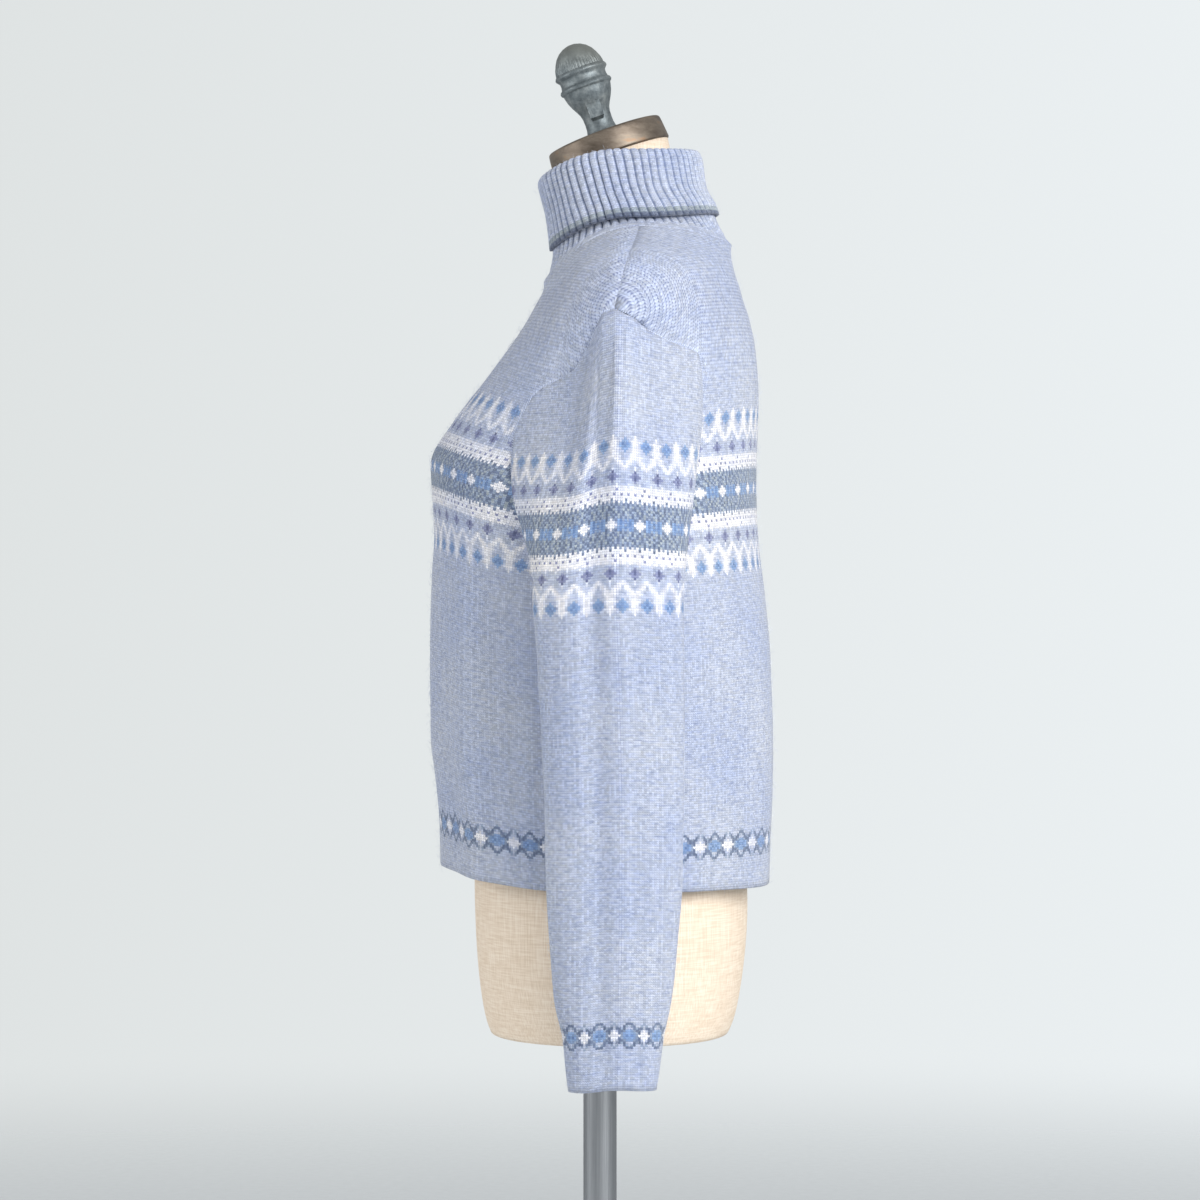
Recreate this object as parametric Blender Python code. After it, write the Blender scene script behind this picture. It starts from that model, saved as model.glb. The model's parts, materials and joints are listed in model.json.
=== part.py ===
"""Knitted turtleneck sweater with colour bands, worn by a limbless dress form on a round stand.

Metres, +Z up. The floor is Z = 0, the stand's axis is X = Y = 0, the front faces -Y and the
wearer's left is +X. Every cloth piece is a thin wall: its outer face comes from the tables of
outlines below, and its inner face lies one cloth thickness further in.
"""
from bisect import bisect_right
from math import cos, exp, hypot, pi, radians, sin

import bmesh
import bpy
from mathutils import Vector

# Sizes of the cloth
CLOTH = 0.0022
SEAM_GAP = 0.0004
RIB_COUNT = 60
RIB_HEIGHT = 0.0012

# Levels of the sweater, measured at the side seam above the floor
HEM = 0.692
UNDERARM = 0.965
SHOULDER_TIP = 1.1756
NECK = 1.253
BODY_ROWS = 10
ARMHOLE_ROWS = 12
SHOULDER_ROWS = 7
SHOULDER_EASE = 1.6
FRONT_COLUMNS = 24
BACK_COLUMNS = 20
SLEEVE_HERMITE_ROWS = 8
SLEEVE_ROWS = 13

# Sizes of the dress form and its stand
FORM_FLOOR = 0.561
FORM_SEGMENTS = 22
CAP_TILT = 20.0
CAP_CENTRE_Y = 0.0033
CAP_TOP = 1.3392
CAP_THICKNESS = 0.021
CAP_RADIUS = 0.0505
POLE_RADIUS = 0.0145
BASE_RADIUS = 0.190
BASE_HEIGHT = 0.034
REST_GAP = 0.0003

# Rings of the body: each follows one knitted row, which the bust and the back lift above the sides.
BODY_COLUMNS = ("side_z", "front_z", "back_z", "half_width", "front_y", "side_y", "back_y", "roundness")
BODY_RINGS = (
    (0.6920, 0.7070, 0.6910, 0.1700, -0.1385, 0.004, 0.1470, 2.3),
    (0.7200, 0.7360, 0.7220, 0.1710, -0.1387, 0.004, 0.1480, 2.3),
    (0.7600, 0.7790, 0.7640, 0.1720, -0.1428, 0.004, 0.1495, 2.3),
    (0.8000, 0.8200, 0.8060, 0.1720, -0.1472, 0.004, 0.1500, 2.3),
    (0.8700, 0.8920, 0.8780, 0.1720, -0.1474, 0.003, 0.1485, 2.3),
    (0.9300, 0.9550, 0.9390, 0.1710, -0.1462, 0.002, 0.1430, 2.3),
    (0.9650, 0.9930, 0.9740, 0.1690, -0.1440, 0.000, 0.1385, 2.3),
    (1.0200, 1.0516, 1.0316, 0.1630, -0.1468, 0.000, 0.1360, 2.3),
    (1.0600, 1.0900, 1.0720, 0.1580, -0.1275, 0.000, 0.1368, 2.2),
    (1.1000, 1.1270, 1.1130, 0.1630, -0.0988, 0.003, 0.1376, 2.15),
    (1.1400, 1.1600, 1.1520, 0.1760, -0.0745, 0.008, 0.1350, 2.00),
    (1.1756, 1.1800, 1.1820, 0.1860, -0.0618, 0.012, 0.1293, 1.85),
    (1.1926, 1.1870, 1.1945, 0.1820, -0.0577, 0.016, 0.1250, 1.85),
    (1.2078, 1.1925, 1.2060, 0.1720, -0.0545, 0.020, 0.1217, 1.90),
    (1.2214, 1.1975, 1.2170, 0.1560, -0.0515, 0.024, 0.1178, 1.95),
    (1.2330, 1.2025, 1.2260, 0.1320, -0.0495, 0.028, 0.1155, 2.00),
    (1.2426, 1.2065, 1.2335, 0.1070, -0.0487, 0.031, 0.1142, 2.00),
    (1.2496, 1.2095, 1.2395, 0.0890, -0.0487, 0.0325, 0.1140, 2.00),
    (1.2530, 1.2115, 1.2430, 0.0800, -0.0487, 0.033, 0.1145, 2.00),
)

# Degrees that the armhole is cut back from the side line, on the front and on the back panel
ARMHOLE_COLUMNS = ("rise", "front_cut", "back_cut")
ARMHOLE = (
    (0.00, 0.0, 0.0),
    (0.04, 10.0, 10.0),
    (0.12, 18.0, 19.0),
    (0.25, 25.0, 26.0),
    (0.40, 31.0, 31.0),
    (0.52, 34.5, 34.5),
    (0.62, 34.0, 36.0),
    (0.68, 29.5, 36.8),
    (0.75, 17.5, 37.0),
    (0.82, 14.5, 36.0),
    (0.88, 12.5, 22.0),
    (0.94, 10.8, 12.0),
    (0.985, 9.0, 7.0),
    (1.00, 0.0, 0.0),
)

# Soft upright folds of the body: degrees from the front, ends above the floor, width and height
FOLD_COLUMNS = ("angle", "bottom_z", "top_z", "width", "lift")
BODY_FOLDS = (
    (26.0, 0.60, 1.02, 10.0, -0.0040),
    (-24.0, 0.60, 1.01, 11.0, -0.0036),
    (58.0, 0.64, 0.99, 11.0, -0.0055),
    (-61.0, 0.66, 1.00, 10.0, -0.0050),
    (44.0, 0.60, 0.96, 8.0, 0.0022),
    (-42.0, 0.60, 0.94, 8.0, 0.0020),
    (132.0, 0.60, 1.04, 11.0, -0.0046),
    (-130.0, 0.60, 1.02, 12.0, -0.0042),
    (158.0, 0.60, 0.98, 9.0, 0.0024),
    (-164.0, 0.60, 0.96, 10.0, 0.0020),
    (88.0, 1.15, 1.26, 9.0, 0.0030),
    (-88.0, 1.15, 1.26, 9.0, 0.0030),
)

# Rings of the left sleeve, from the upper arm to the cuff, and the depth of its long fold
SLEEVE_COLUMNS = ("z", "front_y", "back_y", "inner_x", "outer_x", "fold")
SLEEVE_RINGS = (
    (0.9300, -0.0551, 0.0690, 0.1765, 0.2500, 0.0052),
    (0.8530, -0.0497, 0.0690, 0.1768, 0.2430, 0.0036),
    (0.7710, -0.0460, 0.0690, 0.1768, 0.2365, 0.0030),
    (0.7050, -0.0444, 0.0674, 0.1766, 0.2330, 0.0028),
    (0.6560, -0.0415, 0.0641, 0.1764, 0.2310, 0.0026),
    (0.6060, -0.0380, 0.0592, 0.1766, 0.2290, 0.0022),
    (0.5730, -0.0308, 0.0519, 0.1775, 0.2270, 0.0016),
    (0.5410, -0.0275, 0.0477, 0.1785, 0.2255, 0.0010),
    (0.5315, -0.0262, 0.0462, 0.1795, 0.2245, 0.0008),
)
SLEEVE_ROUNDNESS = 2.15
SLEEVE_FOLD_TOP = 0.0085
SLEEVE_DROP = 1.8
SLEEVE_CREASE_ANGLE = -4.0
SLEEVE_TROUGH_ANGLE = 13.0
SLEEVE_FOLD_WIDTH = 9.0

# Middle of the collar's cloth, from the neck seam up the stand, over the roll and down the fold
COLLAR_COLUMNS = ("front_z", "side_z", "back_z", "half_width", "front_y", "side_y", "back_y")
COLLAR_PATH = (
    (1.2115, 1.2530, 1.2430, 0.0789, -0.0476, 0.033, 0.1134),
    (1.2240, 1.2590, 1.2540, 0.0705, -0.0402, 0.031, 0.1040),
    (1.2400, 1.2665, 1.2700, 0.0660, -0.0383, 0.027, 0.0965),
    (1.2800, 1.2990, 1.3040, 0.0635, -0.0440, 0.021, 0.0850),
    (1.2960, 1.3140, 1.3180, 0.0630, -0.0463, 0.019, 0.0815),
    (1.3013, 1.3193, 1.3233, 0.0655, -0.0490, 0.0185, 0.0840),
    (1.2960, 1.3140, 1.3180, 0.0680, -0.0515, 0.018, 0.0865),
    (1.2680, 1.2880, 1.2930, 0.0705, -0.0447, 0.022, 0.0903),
    (1.2500, 1.2715, 1.2780, 0.0740, -0.0423, 0.027, 0.0985),
    (1.2390, 1.2615, 1.2695, 0.0780, -0.0413, 0.029, 0.1013),
)
# Stations round the collar's wall: place on that path, face (1 shows on the fold) and share of the ribs
COLLAR_STATIONS = (
    (9.0, 1, 1.0), (8.0, 1, 1.0), (7.0, 1, 1.0), (6.3, 1, 1.0), (5.7, 1, 0.8), (5.0, 1, 0.5), (4.4, 1, 0.2),
    (3.6, 1, 0), (2.0, 1, 0), (0.0, 1, 0),
    (0.0, -1, 0), (1.0, -1, 0.7), (2.4, -1, 0), (4.2, -1, 0), (5.0, -1, 0), (6.0, -1, 0), (9.0, -1, 0),
)

# Level sections of the dress form, from its floor to the chest
FORM_COLUMNS = ("z", "half_width", "front_y", "side_y", "back_y")
FORM_RINGS = (
    (0.561, 0.144, -0.096, 0.012, 0.113),
    (0.572, 0.151, -0.101, 0.012, 0.119),
    (0.610, 0.159, -0.107, 0.012, 0.126),
    (0.660, 0.162, -0.110, 0.012, 0.131),
    (0.720, 0.155, -0.111, 0.011, 0.129),
    (0.790, 0.135, -0.104, 0.010, 0.114),
    (0.845, 0.122, -0.098, 0.008, 0.100),
    (0.900, 0.128, -0.105, 0.006, 0.103),
    (0.950, 0.138, -0.121, 0.004, 0.113),
    (1.000, 0.145, -0.134, 0.004, 0.122),
    (1.045, 0.147, -0.137, 0.004, 0.127),
    (1.075, 0.146, -0.128, 0.004, 0.128),
    (1.105, 0.147, -0.107, 0.005, 0.128),
)
# Clear space between the form and the cloth at the levels of the shoulder rows, where it rests
FORM_SHOULDER = (
    (1.140, 0.0075), (0, 0.0040), (1, 0.0011), (2, 0.00045), (3, 0.00045), (4, 0.0008), (5, 0.0030),
)
# Tilted sections of the form's neck: centre Y and Z, half width, half depth, tilt in degrees
FORM_NECK = (
    (0.0275, 1.2410, 0.0640, 0.0590, 12.0),
    (0.0215, 1.2600, 0.0575, 0.0550, 15.0),
    (0.0165, 1.2880, 0.0535, 0.0525, 18.0),
)

# Turned outlines: radius and height
CAP_PROFILE = ((0.0, 0.0), (0.0515, 0.0), (0.0530, 0.0015), (0.0512, 0.0195), (0.0490, 0.021), (0.0, 0.021))
FINIAL_PROFILE = (
    (0.0, 0.0), (0.0160, 0.0), (0.0158, 0.0015), (0.0132, 0.0045), (0.0123, 0.0110), (0.0123, 0.0200),
    (0.0146, 0.0257), (0.0177, 0.0310), (0.0205, 0.0375), (0.0215, 0.0425), (0.0232, 0.0442),
    (0.0232, 0.0462), (0.0208, 0.0485), (0.0206, 0.0540), (0.0234, 0.0565), (0.0234, 0.0590),
    (0.0212, 0.0610), (0.0205, 0.0650), (0.0180, 0.0710), (0.0143, 0.0775), (0.0090, 0.0818), (0.0, 0.0836),
)
POLE_PROFILE = ((0.0, 0.0), (1.0, 0.0), (1.0, 1.0), (0.0, 1.0))
BASE_PROFILE = (
    (0.0, 0.0), (0.186, 0.0), (0.190, 0.004), (0.189, 0.009), (0.180, 0.0125), (0.120, 0.0170),
    (0.060, 0.0210), (0.034, 0.0250), (0.027, 0.0300), (0.024, 0.0340), (0.0, 0.0340),
)

# Colour, roughness and metallic share of each material
FINISHES = {
    "lavender_knit": ((0.56, 0.60, 0.74), 0.95, 0.0),
    "linen": ((0.78, 0.68, 0.54), 0.85, 0.0),
    "bronzed_wood": ((0.22, 0.17, 0.13), 0.45, 0.0),
    "cast_pewter": ((0.23, 0.25, 0.26), 0.55, 0.8),
    "steel": ((0.30, 0.30, 0.31), 0.40, 0.9),
    "cast_iron": ((0.06, 0.06, 0.065), 0.60, 0.5),
}


def clear_scene():
    for thing in list(bpy.data.objects):
        bpy.data.objects.remove(thing)


def material(name):
    found = bpy.data.materials.get(name)
    if found:
        return found
    colour, roughness, metallic = FINISHES[name]
    made = bpy.data.materials.new(name)
    made.use_nodes = True
    shader = made.node_tree.nodes["Principled BSDF"]
    shader.inputs["Base Color"].default_value = (*colour, 1.0)
    shader.inputs["Roughness"].default_value = roughness
    shader.inputs["Metallic"].default_value = metallic
    made.diffuse_color = (*colour, 1.0)
    return made


def add_object(name, points, faces, finish):
    """A closed mesh with outward faces, shaded smooth apart from its sharp edges."""
    mesh = bpy.data.meshes.new(name)
    mesh.from_pydata([tuple(p) for p in points], [], faces)
    bm = bmesh.new()
    bm.from_mesh(mesh)
    bmesh.ops.recalc_face_normals(bm, faces=bm.faces)
    bm.to_mesh(mesh)
    bm.free()
    mesh.materials.append(material(finish))
    mesh.shade_smooth()
    mesh.set_sharp_from_angle(angle=radians(50))
    made = bpy.data.objects.new(name, mesh)
    bpy.context.scene.collection.objects.link(made)
    return made


def steady_slopes(xs, ys):
    """Slopes of a smooth curve through the points that never overshoots them."""
    steps = [(ys[i + 1] - ys[i]) / (xs[i + 1] - xs[i]) for i in range(len(xs) - 1)]
    slopes = [steps[0]]
    for before, after in zip(steps, steps[1:]):
        slopes.append(0.0 if before * after <= 0 else 2 * before * after / (before + after))
    slopes.append(steps[-1])
    return slopes


def smooth_curve(xs, ys):
    """A function of x that passes smoothly through the points and stays flat outside them."""
    slopes = steady_slopes(xs, ys)

    def value(x):
        if x <= xs[0]:
            return ys[0]
        if x >= xs[-1]:
            return ys[-1]
        i = bisect_right(xs, x) - 1
        width = xs[i + 1] - xs[i]
        t = (x - xs[i]) / width
        return (
            (1 + 2 * t) * (1 - t) ** 2 * ys[i]
            + t * (1 - t) ** 2 * width * slopes[i]
            + t * t * (3 - 2 * t) * ys[i + 1]
            + t * t * (t - 1) * width * slopes[i + 1]
        )

    return value


def curves(columns, rows, key=None):
    """One smooth curve for each named column, against the key column or the row number."""
    xs = [row[columns.index(key)] for row in rows] if key else list(range(len(rows)))
    order = sorted(range(len(rows)), key=lambda i: xs[i])
    xs = [xs[i] for i in order]
    return {name: smooth_curve(xs, [rows[i][c] for i in order]) for c, name in enumerate(columns)}


BODY = curves(BODY_COLUMNS, BODY_RINGS, "side_z")
CUTS = curves(ARMHOLE_COLUMNS, ARMHOLE, "rise")
SLEEVE = curves(SLEEVE_COLUMNS, SLEEVE_RINGS, "z")
COLLAR = curves(COLLAR_COLUMNS, COLLAR_PATH)


def oval_point(angle, half_width, front_y, side_y, back_y, roundness):
    """X and Y on a rounded section: 0 degrees is the front, 90 the wearer's left."""
    c = cos(radians(angle))
    s = sin(radians(angle))
    reach = front_y if c > 0 else back_y
    x = half_width * abs(s) ** (2 / roundness) * (1 if s > 0 else -1)
    y = side_y + (reach - side_y) * abs(c) ** (2 / roundness)
    return x, y, c


def lifted(c, side_z, front_z, back_z):
    """Height of a knitted row, which rises or falls from the side towards the front and back."""
    return side_z + ((front_z if c > 0 else back_z) - side_z) * c * c


def bell(distance, width):
    return exp(-((distance / width) ** 2))


def fold_lift(angle, z):
    """How far the soft folds move the body's cloth outwards at this place."""
    total = 0.0
    for fold in BODY_FOLDS:
        place = dict(zip(FOLD_COLUMNS, fold))
        aside = (angle - place["angle"] + 180) % 360 - 180
        middle = (place["bottom_z"] + place["top_z"]) / 2
        half = (place["top_z"] - place["bottom_z"]) / 2
        along = max(0.0, 1 - ((z - middle) / half) ** 2)
        total += place["lift"] * bell(aside, place["width"]) * along
    return total


def smooth_body(angle, level):
    """The body's outer face with no folds. The level is the row's height at the side."""
    at = {name: curve(level) for name, curve in BODY.items()}
    x, y, c = oval_point(
        angle, at["half_width"], at["front_y"], at["side_y"], at["back_y"], at["roundness"]
    )
    return Vector((x, y, lifted(c, at["side_z"], at["front_z"], at["back_z"])))


def surface_normal(surface, a, b, da, db):
    """Normal of a surface of two parameters, where a turns to the wearer's left and b rises."""
    across = surface(a + da, b) - surface(a - da, b)
    upwards = surface(a, b + db) - surface(a, b - db)
    return across.cross(upwards).normalized()


def body_normal(angle, level, surface=smooth_body):
    held = min(max(level, HEM + 0.001), NECK - 0.001)
    return surface_normal(surface, angle, held, 0.5, 0.0008)


def body(angle, level):
    base = smooth_body(angle, level)
    return base + body_normal(angle, level) * fold_lift(angle, base.z)


def armhole_rise(level):
    return (level - UNDERARM) / (SHOULDER_TIP - UNDERARM)


def armhole_cut(panel, level):
    rise = armhole_rise(level)
    if rise <= 0 or rise >= 1:
        return 0.0
    return CUTS[panel + "_cut"](rise)


def row_levels():
    """Levels of the grid rows, closest together at the underarm and at the shoulder's tip."""
    levels = [HEM + (UNDERARM - HEM) * i / BODY_ROWS for i in range(BODY_ROWS)]
    for i in range(ARMHOLE_ROWS):
        share = (1 - cos(pi * i / ARMHOLE_ROWS)) / 2
        levels.append(UNDERARM + (SHOULDER_TIP - UNDERARM) * share)
    for i in range(SHOULDER_ROWS + 1):
        share = 1 - (1 - i / SHOULDER_ROWS) ** SHOULDER_EASE
        levels.append(SHOULDER_TIP + (NECK - SHOULDER_TIP) * share)
    return levels


LEVELS = row_levels()
ARMHOLE_LEVELS = LEVELS[BODY_ROWS:BODY_ROWS + ARMHOLE_ROWS + 1]


def armhole_edge():
    """The left armhole, round from the shoulder's tip by the front to the underarm and back up.

    Each point has its place, the sleeve's first direction, the mitre that both walls share and
    the way across the seam towards the sleeve.
    """
    down = [(90 - armhole_cut("front", z), z) for z in reversed(ARMHOLE_LEVELS)]
    up = [(90 + armhole_cut("back", z), z) for z in ARMHOLE_LEVELS[1:-1]]
    ring = down + up
    places = [body(angle, z) for angle, z in ring]
    centre = sum(places, Vector()) / len(places)
    edge = []
    for i, (angle, z) in enumerate(ring):
        along = (places[(i + 1) % len(ring)] - places[i - 1]).normalized()
        drop = SLEEVE_DROP * min(1.0, armhole_rise(z) * 2.2)
        onward = Vector((1.0, 0.0, -drop)).normalized()
        sleeve_normal = along.cross(onward).normalized()
        if sleeve_normal.dot(places[i] - centre) < 0:
            sleeve_normal.negate()
        mitre = (body_normal(angle, z) + sleeve_normal).normalized()
        across = mitre.cross(along).normalized()
        if across.dot(onward) < 0:
            across.negate()
        edge.append({"place": places[i], "onward": onward, "mitre": mitre, "across": across})
    return edge


ARMHOLE_EDGE = armhole_edge()


def mirrored(vector, side):
    return Vector((vector.x * side, vector.y, vector.z))


def edge_of_row(row, panel):
    """The armhole point that ends this row of a panel, or None where the row ends at a seam."""
    step = row - BODY_ROWS
    if step < 0 or step > ARMHOLE_ROWS:
        return None
    if panel == "front":
        return ARMHOLE_EDGE[ARMHOLE_ROWS - step]
    return ARMHOLE_EDGE[(ARMHOLE_ROWS + step) % len(ARMHOLE_EDGE)]


def panel_grid(panel, column_count):
    """Outer and inner points of a panel, row by row from the hem to the neck."""
    grid = []
    for row, level in enumerate(LEVELS):
        cut = armhole_cut(panel, level)
        seam = 0.0 if cut else SEAM_GAP / 2 / BODY["half_width"](level) * 180 / pi
        reach = 90 - cut - seam
        line = []
        for column in range(column_count + 1):
            share = 2 * column / column_count - 1
            angle = share * reach if panel == "front" else 180 + share * reach
            outer = body(angle, level)
            inner = outer - body_normal(angle, level) * CLOTH
            line.append([outer, inner])
        edge = edge_of_row(row, panel)
        if edge:
            for column in (0, column_count):
                side = 1 if line[column][0].x > 0 else -1
                outer = line[column][0] - mirrored(edge["across"], side) * SEAM_GAP / 2
                line[column] = [outer, outer - mirrored(edge["mitre"], side) * CLOTH]
        grid.append(line)
    return grid


def wall_faces(rows, columns, closed):
    """Faces of a thin wall whose points are listed row by row, outer then inner at each place."""
    def number(row, column, layer):
        return (row * columns + column % columns) * 2 + layer

    faces = []
    spans = columns if closed else columns - 1
    for row in range(rows - 1):
        for column in range(spans):
            for layer in (0, 1):
                faces.append((
                    number(row, column, layer), number(row, column + 1, layer),
                    number(row + 1, column + 1, layer), number(row + 1, column, layer),
                ))
    for row in (0, rows - 1):
        for column in range(spans):
            faces.append((
                number(row, column, 0), number(row, column + 1, 0),
                number(row, column + 1, 1), number(row, column, 1),
            ))
    if not closed:
        for column in (0, columns - 1):
            for row in range(rows - 1):
                faces.append((
                    number(row, column, 0), number(row + 1, column, 0),
                    number(row + 1, column, 1), number(row, column, 1),
                ))
    return faces


def add_wall(name, grid, closed, finish):
    points = [point for line in grid for place in line for point in place]
    return add_object(name, points, wall_faces(len(grid), len(grid[0]), closed), finish)


def add_panels():
    """Front and back, each knitted in one piece from the hem band to the neck."""
    add_wall("front", panel_grid("front", FRONT_COLUMNS), False, "lavender_knit")
    add_wall("back", panel_grid("back", BACK_COLUMNS), False, "lavender_knit")


def sleeve_angles():
    """Degrees round the sleeve for each armhole point: 0 outside, 90 front, 180 inside."""
    places = [edge["place"] for edge in ARMHOLE_EDGE]
    count = len(places)
    lengths = [(places[(i + 1) % count] - places[i]).length for i in range(count)]
    half = ARMHOLE_ROWS
    front, back = sum(lengths[:half]), sum(lengths[half:])
    angles = [180 * sum(lengths[:i]) / front for i in range(half)]
    angles += [180 + 180 * sum(lengths[half:half + i]) / back for i in range(half)]
    even = [360 * i / count for i in range(count)]
    return [(a + b) / 2 for a, b in zip(angles, even)]


def sleeve_ring(angle, z):
    at = {name: curve(z) for name, curve in SLEEVE.items()}
    c, s = cos(radians(angle)), sin(radians(angle))
    power = 2 / SLEEVE_ROUNDNESS
    x = (at["inner_x"] + at["outer_x"]) / 2
    x += (at["outer_x"] - at["inner_x"]) / 2 * abs(c) ** power * (1 if c > 0 else -1)
    y = (at["front_y"] + at["back_y"]) / 2
    y -= (at["back_y"] - at["front_y"]) / 2 * abs(s) ** power * (1 if s > 0 else -1)
    return Vector((x, y, z))


def sleeve_fold(angle, depth):
    """The long fold down the sleeve's outside: a raised crease with a trough in front of it."""
    aside = (angle + 180) % 360 - 180
    crease = 0.55 * bell(aside - SLEEVE_CREASE_ANGLE, SLEEVE_FOLD_WIDTH)
    trough = bell(aside - SLEEVE_TROUGH_ANGLE, SLEEVE_FOLD_WIDTH)
    return depth * (crease - trough)


def sleeve_path(edge, angle):
    """Points of the left sleeve's outer face, from the armhole down one column to the cuff."""
    start = edge["place"] + edge["across"] * SEAM_GAP / 2
    top = SLEEVE_RINGS[0][0]
    end = sleeve_ring(angle, top)
    reach = (end - start).length
    path = []
    for i in range(SLEEVE_HERMITE_ROWS):
        t = i / SLEEVE_HERMITE_ROWS
        place = (
            start * (1 + 2 * t) * (1 - t) ** 2
            + edge["onward"] * reach * 1.15 * t * (1 - t) ** 2
            + end * t * t * (3 - 2 * t)
            + Vector((0, 0, -reach)) * t * t * (t - 1)
        )
        depth = SLEEVE_FOLD_TOP + (SLEEVE_RINGS[0][-1] - SLEEVE_FOLD_TOP) * t
        place.x += sleeve_fold(angle, depth) * min(1.0, t * 4)
        path.append(place)
    bottom = SLEEVE_RINGS[-1][0]
    for i in range(SLEEVE_ROWS + 1):
        share = i / SLEEVE_ROWS
        place = sleeve_ring(angle, top + (bottom - top) * (share * 1.15 - share * share * 0.15))
        place.x += sleeve_fold(angle, SLEEVE["fold"](place.z))
        path.append(place)
    return path


def sleeve_grid(side):
    """Outer and inner points of a sleeve. The right one mirrors the left."""
    paths = [sleeve_path(e, a) for e, a in zip(ARMHOLE_EDGE, sleeve_angles())]
    columns, rows = len(paths), len(paths[0])
    grid = []
    for row in range(rows):
        line = []
        for column in range(columns):
            outer = paths[column][row]
            if row == 0:
                inward = -ARMHOLE_EDGE[column]["mitre"]
            else:
                along = paths[column][min(row + 1, rows - 1)] - paths[column][row - 1]
                around = paths[(column + 1) % columns][row] - paths[column - 1][row]
                inward = around.cross(along).normalized()
                inward.negate()
            line.append([mirrored(outer, side), mirrored(outer + inward * CLOTH, side)])
        grid.append(line)
    return grid


def add_sleeves():
    """Set-in sleeves, each knitted flat and sewn along the underside."""
    add_wall("sleeve_left", sleeve_grid(1), True, "lavender_knit")
    add_wall("sleeve_right", sleeve_grid(-1), True, "lavender_knit")


def collar_middle(angle, path):
    at = {name: curve(path) for name, curve in COLLAR.items()}
    x, y, c = oval_point(angle, at["half_width"], at["front_y"], at["side_y"], at["back_y"], 2.0)
    return Vector((x, y, lifted(c, at["side_z"], at["front_z"], at["back_z"])))


def collar_point(angle, path, side, rib):
    """A point on the collar's cloth: side 1 is the face that shows on the fold.

    The first station meets the neck edge of the panels, a seam's gap above it.
    """
    if path == 0:
        normal = body_normal(angle, NECK)
        upward = (body(angle, NECK) - body(angle, NECK - 0.002)).normalized()
        outer = body(angle, NECK) + upward * SEAM_GAP
        return outer - normal * (CLOTH if side > 0 else 0.0)
    held = min(max(path, 0.02), len(COLLAR_PATH) - 1.02)
    normal = surface_normal(collar_middle, angle, held, 0.5, 0.02)
    normal.negate()
    return collar_middle(angle, path) + normal * side * (CLOTH / 2 + rib)


def collar_ring(path, side, share):
    """Points round the collar: three to a rib where the ribs are raised, and one elsewhere."""
    steps = 3 if share else 1
    count = RIB_COUNT * steps
    ring = []
    for i in range(count):
        rib = RIB_HEIGHT * share * (1 if i % 3 else 0)
        ring.append(collar_point(360 * i / count, path, side, rib))
    return ring


def spans(start, count):
    """For each rib, the numbers of a ring's points from its groove to the next one."""
    steps = count // RIB_COUNT
    return [[start + (rib * steps + k) % count for k in range(steps + 1)] for rib in range(RIB_COUNT)]


def joined_faces(first, second):
    """Faces between two rings, one of which may have three points for each of the other's."""
    faces = []
    for near, far in zip(spans(*first), spans(*second)):
        if len(near) == len(far):
            faces += [(near[k], near[k + 1], far[k + 1], far[k]) for k in range(len(near) - 1)]
            continue
        fine, coarse = (near, far) if len(near) > len(far) else (far, near)
        faces.append((fine[0], fine[1], coarse[0]))
        faces.append((fine[1], fine[2], coarse[1], coarse[0]))
        faces.append((fine[2], fine[3], coarse[1]))
    return faces


def add_collar():
    """One ribbed tube, folded over on itself."""
    rings = [collar_ring(*station) for station in COLLAR_STATIONS]
    points, starts = [], []
    for ring in rings:
        starts.append(len(points))
        points += ring
    faces = []
    for k, ring in enumerate(rings):
        after = (k + 1) % len(rings)
        faces += joined_faces((starts[k], len(ring)), (starts[after], len(rings[after])))
    add_object("collar", points, faces, "lavender_knit")


def form_angles():
    front = [-90 + 360 * i / FRONT_COLUMNS for i in range(FRONT_COLUMNS // 2)]
    back = [90 + 360 * i / BACK_COLUMNS for i in range(BACK_COLUMNS // 2)]
    return front + back


def form_ring(row, angles):
    at = dict(zip(FORM_COLUMNS, row))
    ring = []
    for angle in angles:
        x, y, _ = oval_point(angle, at["half_width"], at["front_y"], at["side_y"], at["back_y"], 2.15)
        ring.append(Vector((x, y, at["z"])))
    return ring


def tilted_ring(centre_y, centre_z, half_width, half_depth, tilt, angles):
    """An oval that leans forward: its front is lower than its back."""
    ring = []
    for angle in angles:
        x = half_width * sin(radians(angle))
        depth = -half_depth * cos(radians(angle))
        y = centre_y + depth * cos(radians(tilt))
        ring.append(Vector((x, y, centre_z + depth * sin(radians(tilt)))))
    return ring


def stacked_faces(rings, count):
    faces = [tuple(range(count)), tuple(range((rings - 1) * count, rings * count))]
    for ring in range(rings - 1):
        for i in range(count):
            onward = (i + 1) % count
            faces.append((
                ring * count + i, ring * count + onward,
                (ring + 1) * count + onward, (ring + 1) * count + i,
            ))
    return faces


def add_form():
    """The limbless form: smooth from its flat floor up to the neck, where the cap sits."""
    angles = form_angles()
    rings = [form_ring(row, angles) for row in FORM_RINGS]
    first = BODY_ROWS + ARMHOLE_ROWS
    for place, gap in FORM_SHOULDER:
        level = place if isinstance(place, float) else LEVELS[first + place]
        ring = []
        for angle in angles:
            ring.append(smooth_body(angle, level) - body_normal(angle, level) * (CLOTH + gap))
        rings.append(ring)
    for row in FORM_NECK:
        rings.append(tilted_ring(*row, angles))
    lean = radians(CAP_TILT)
    drop = CAP_THICKNESS + REST_GAP
    rings.append(tilted_ring(
        CAP_CENTRE_Y + drop * sin(lean), CAP_TOP - drop * cos(lean), 0.0525, 0.0525, CAP_TILT, angles
    ))
    points = [point for ring in rings for point in ring]
    add_object("form_torso", points, stacked_faces(len(rings), len(angles)), "linen")


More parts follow.
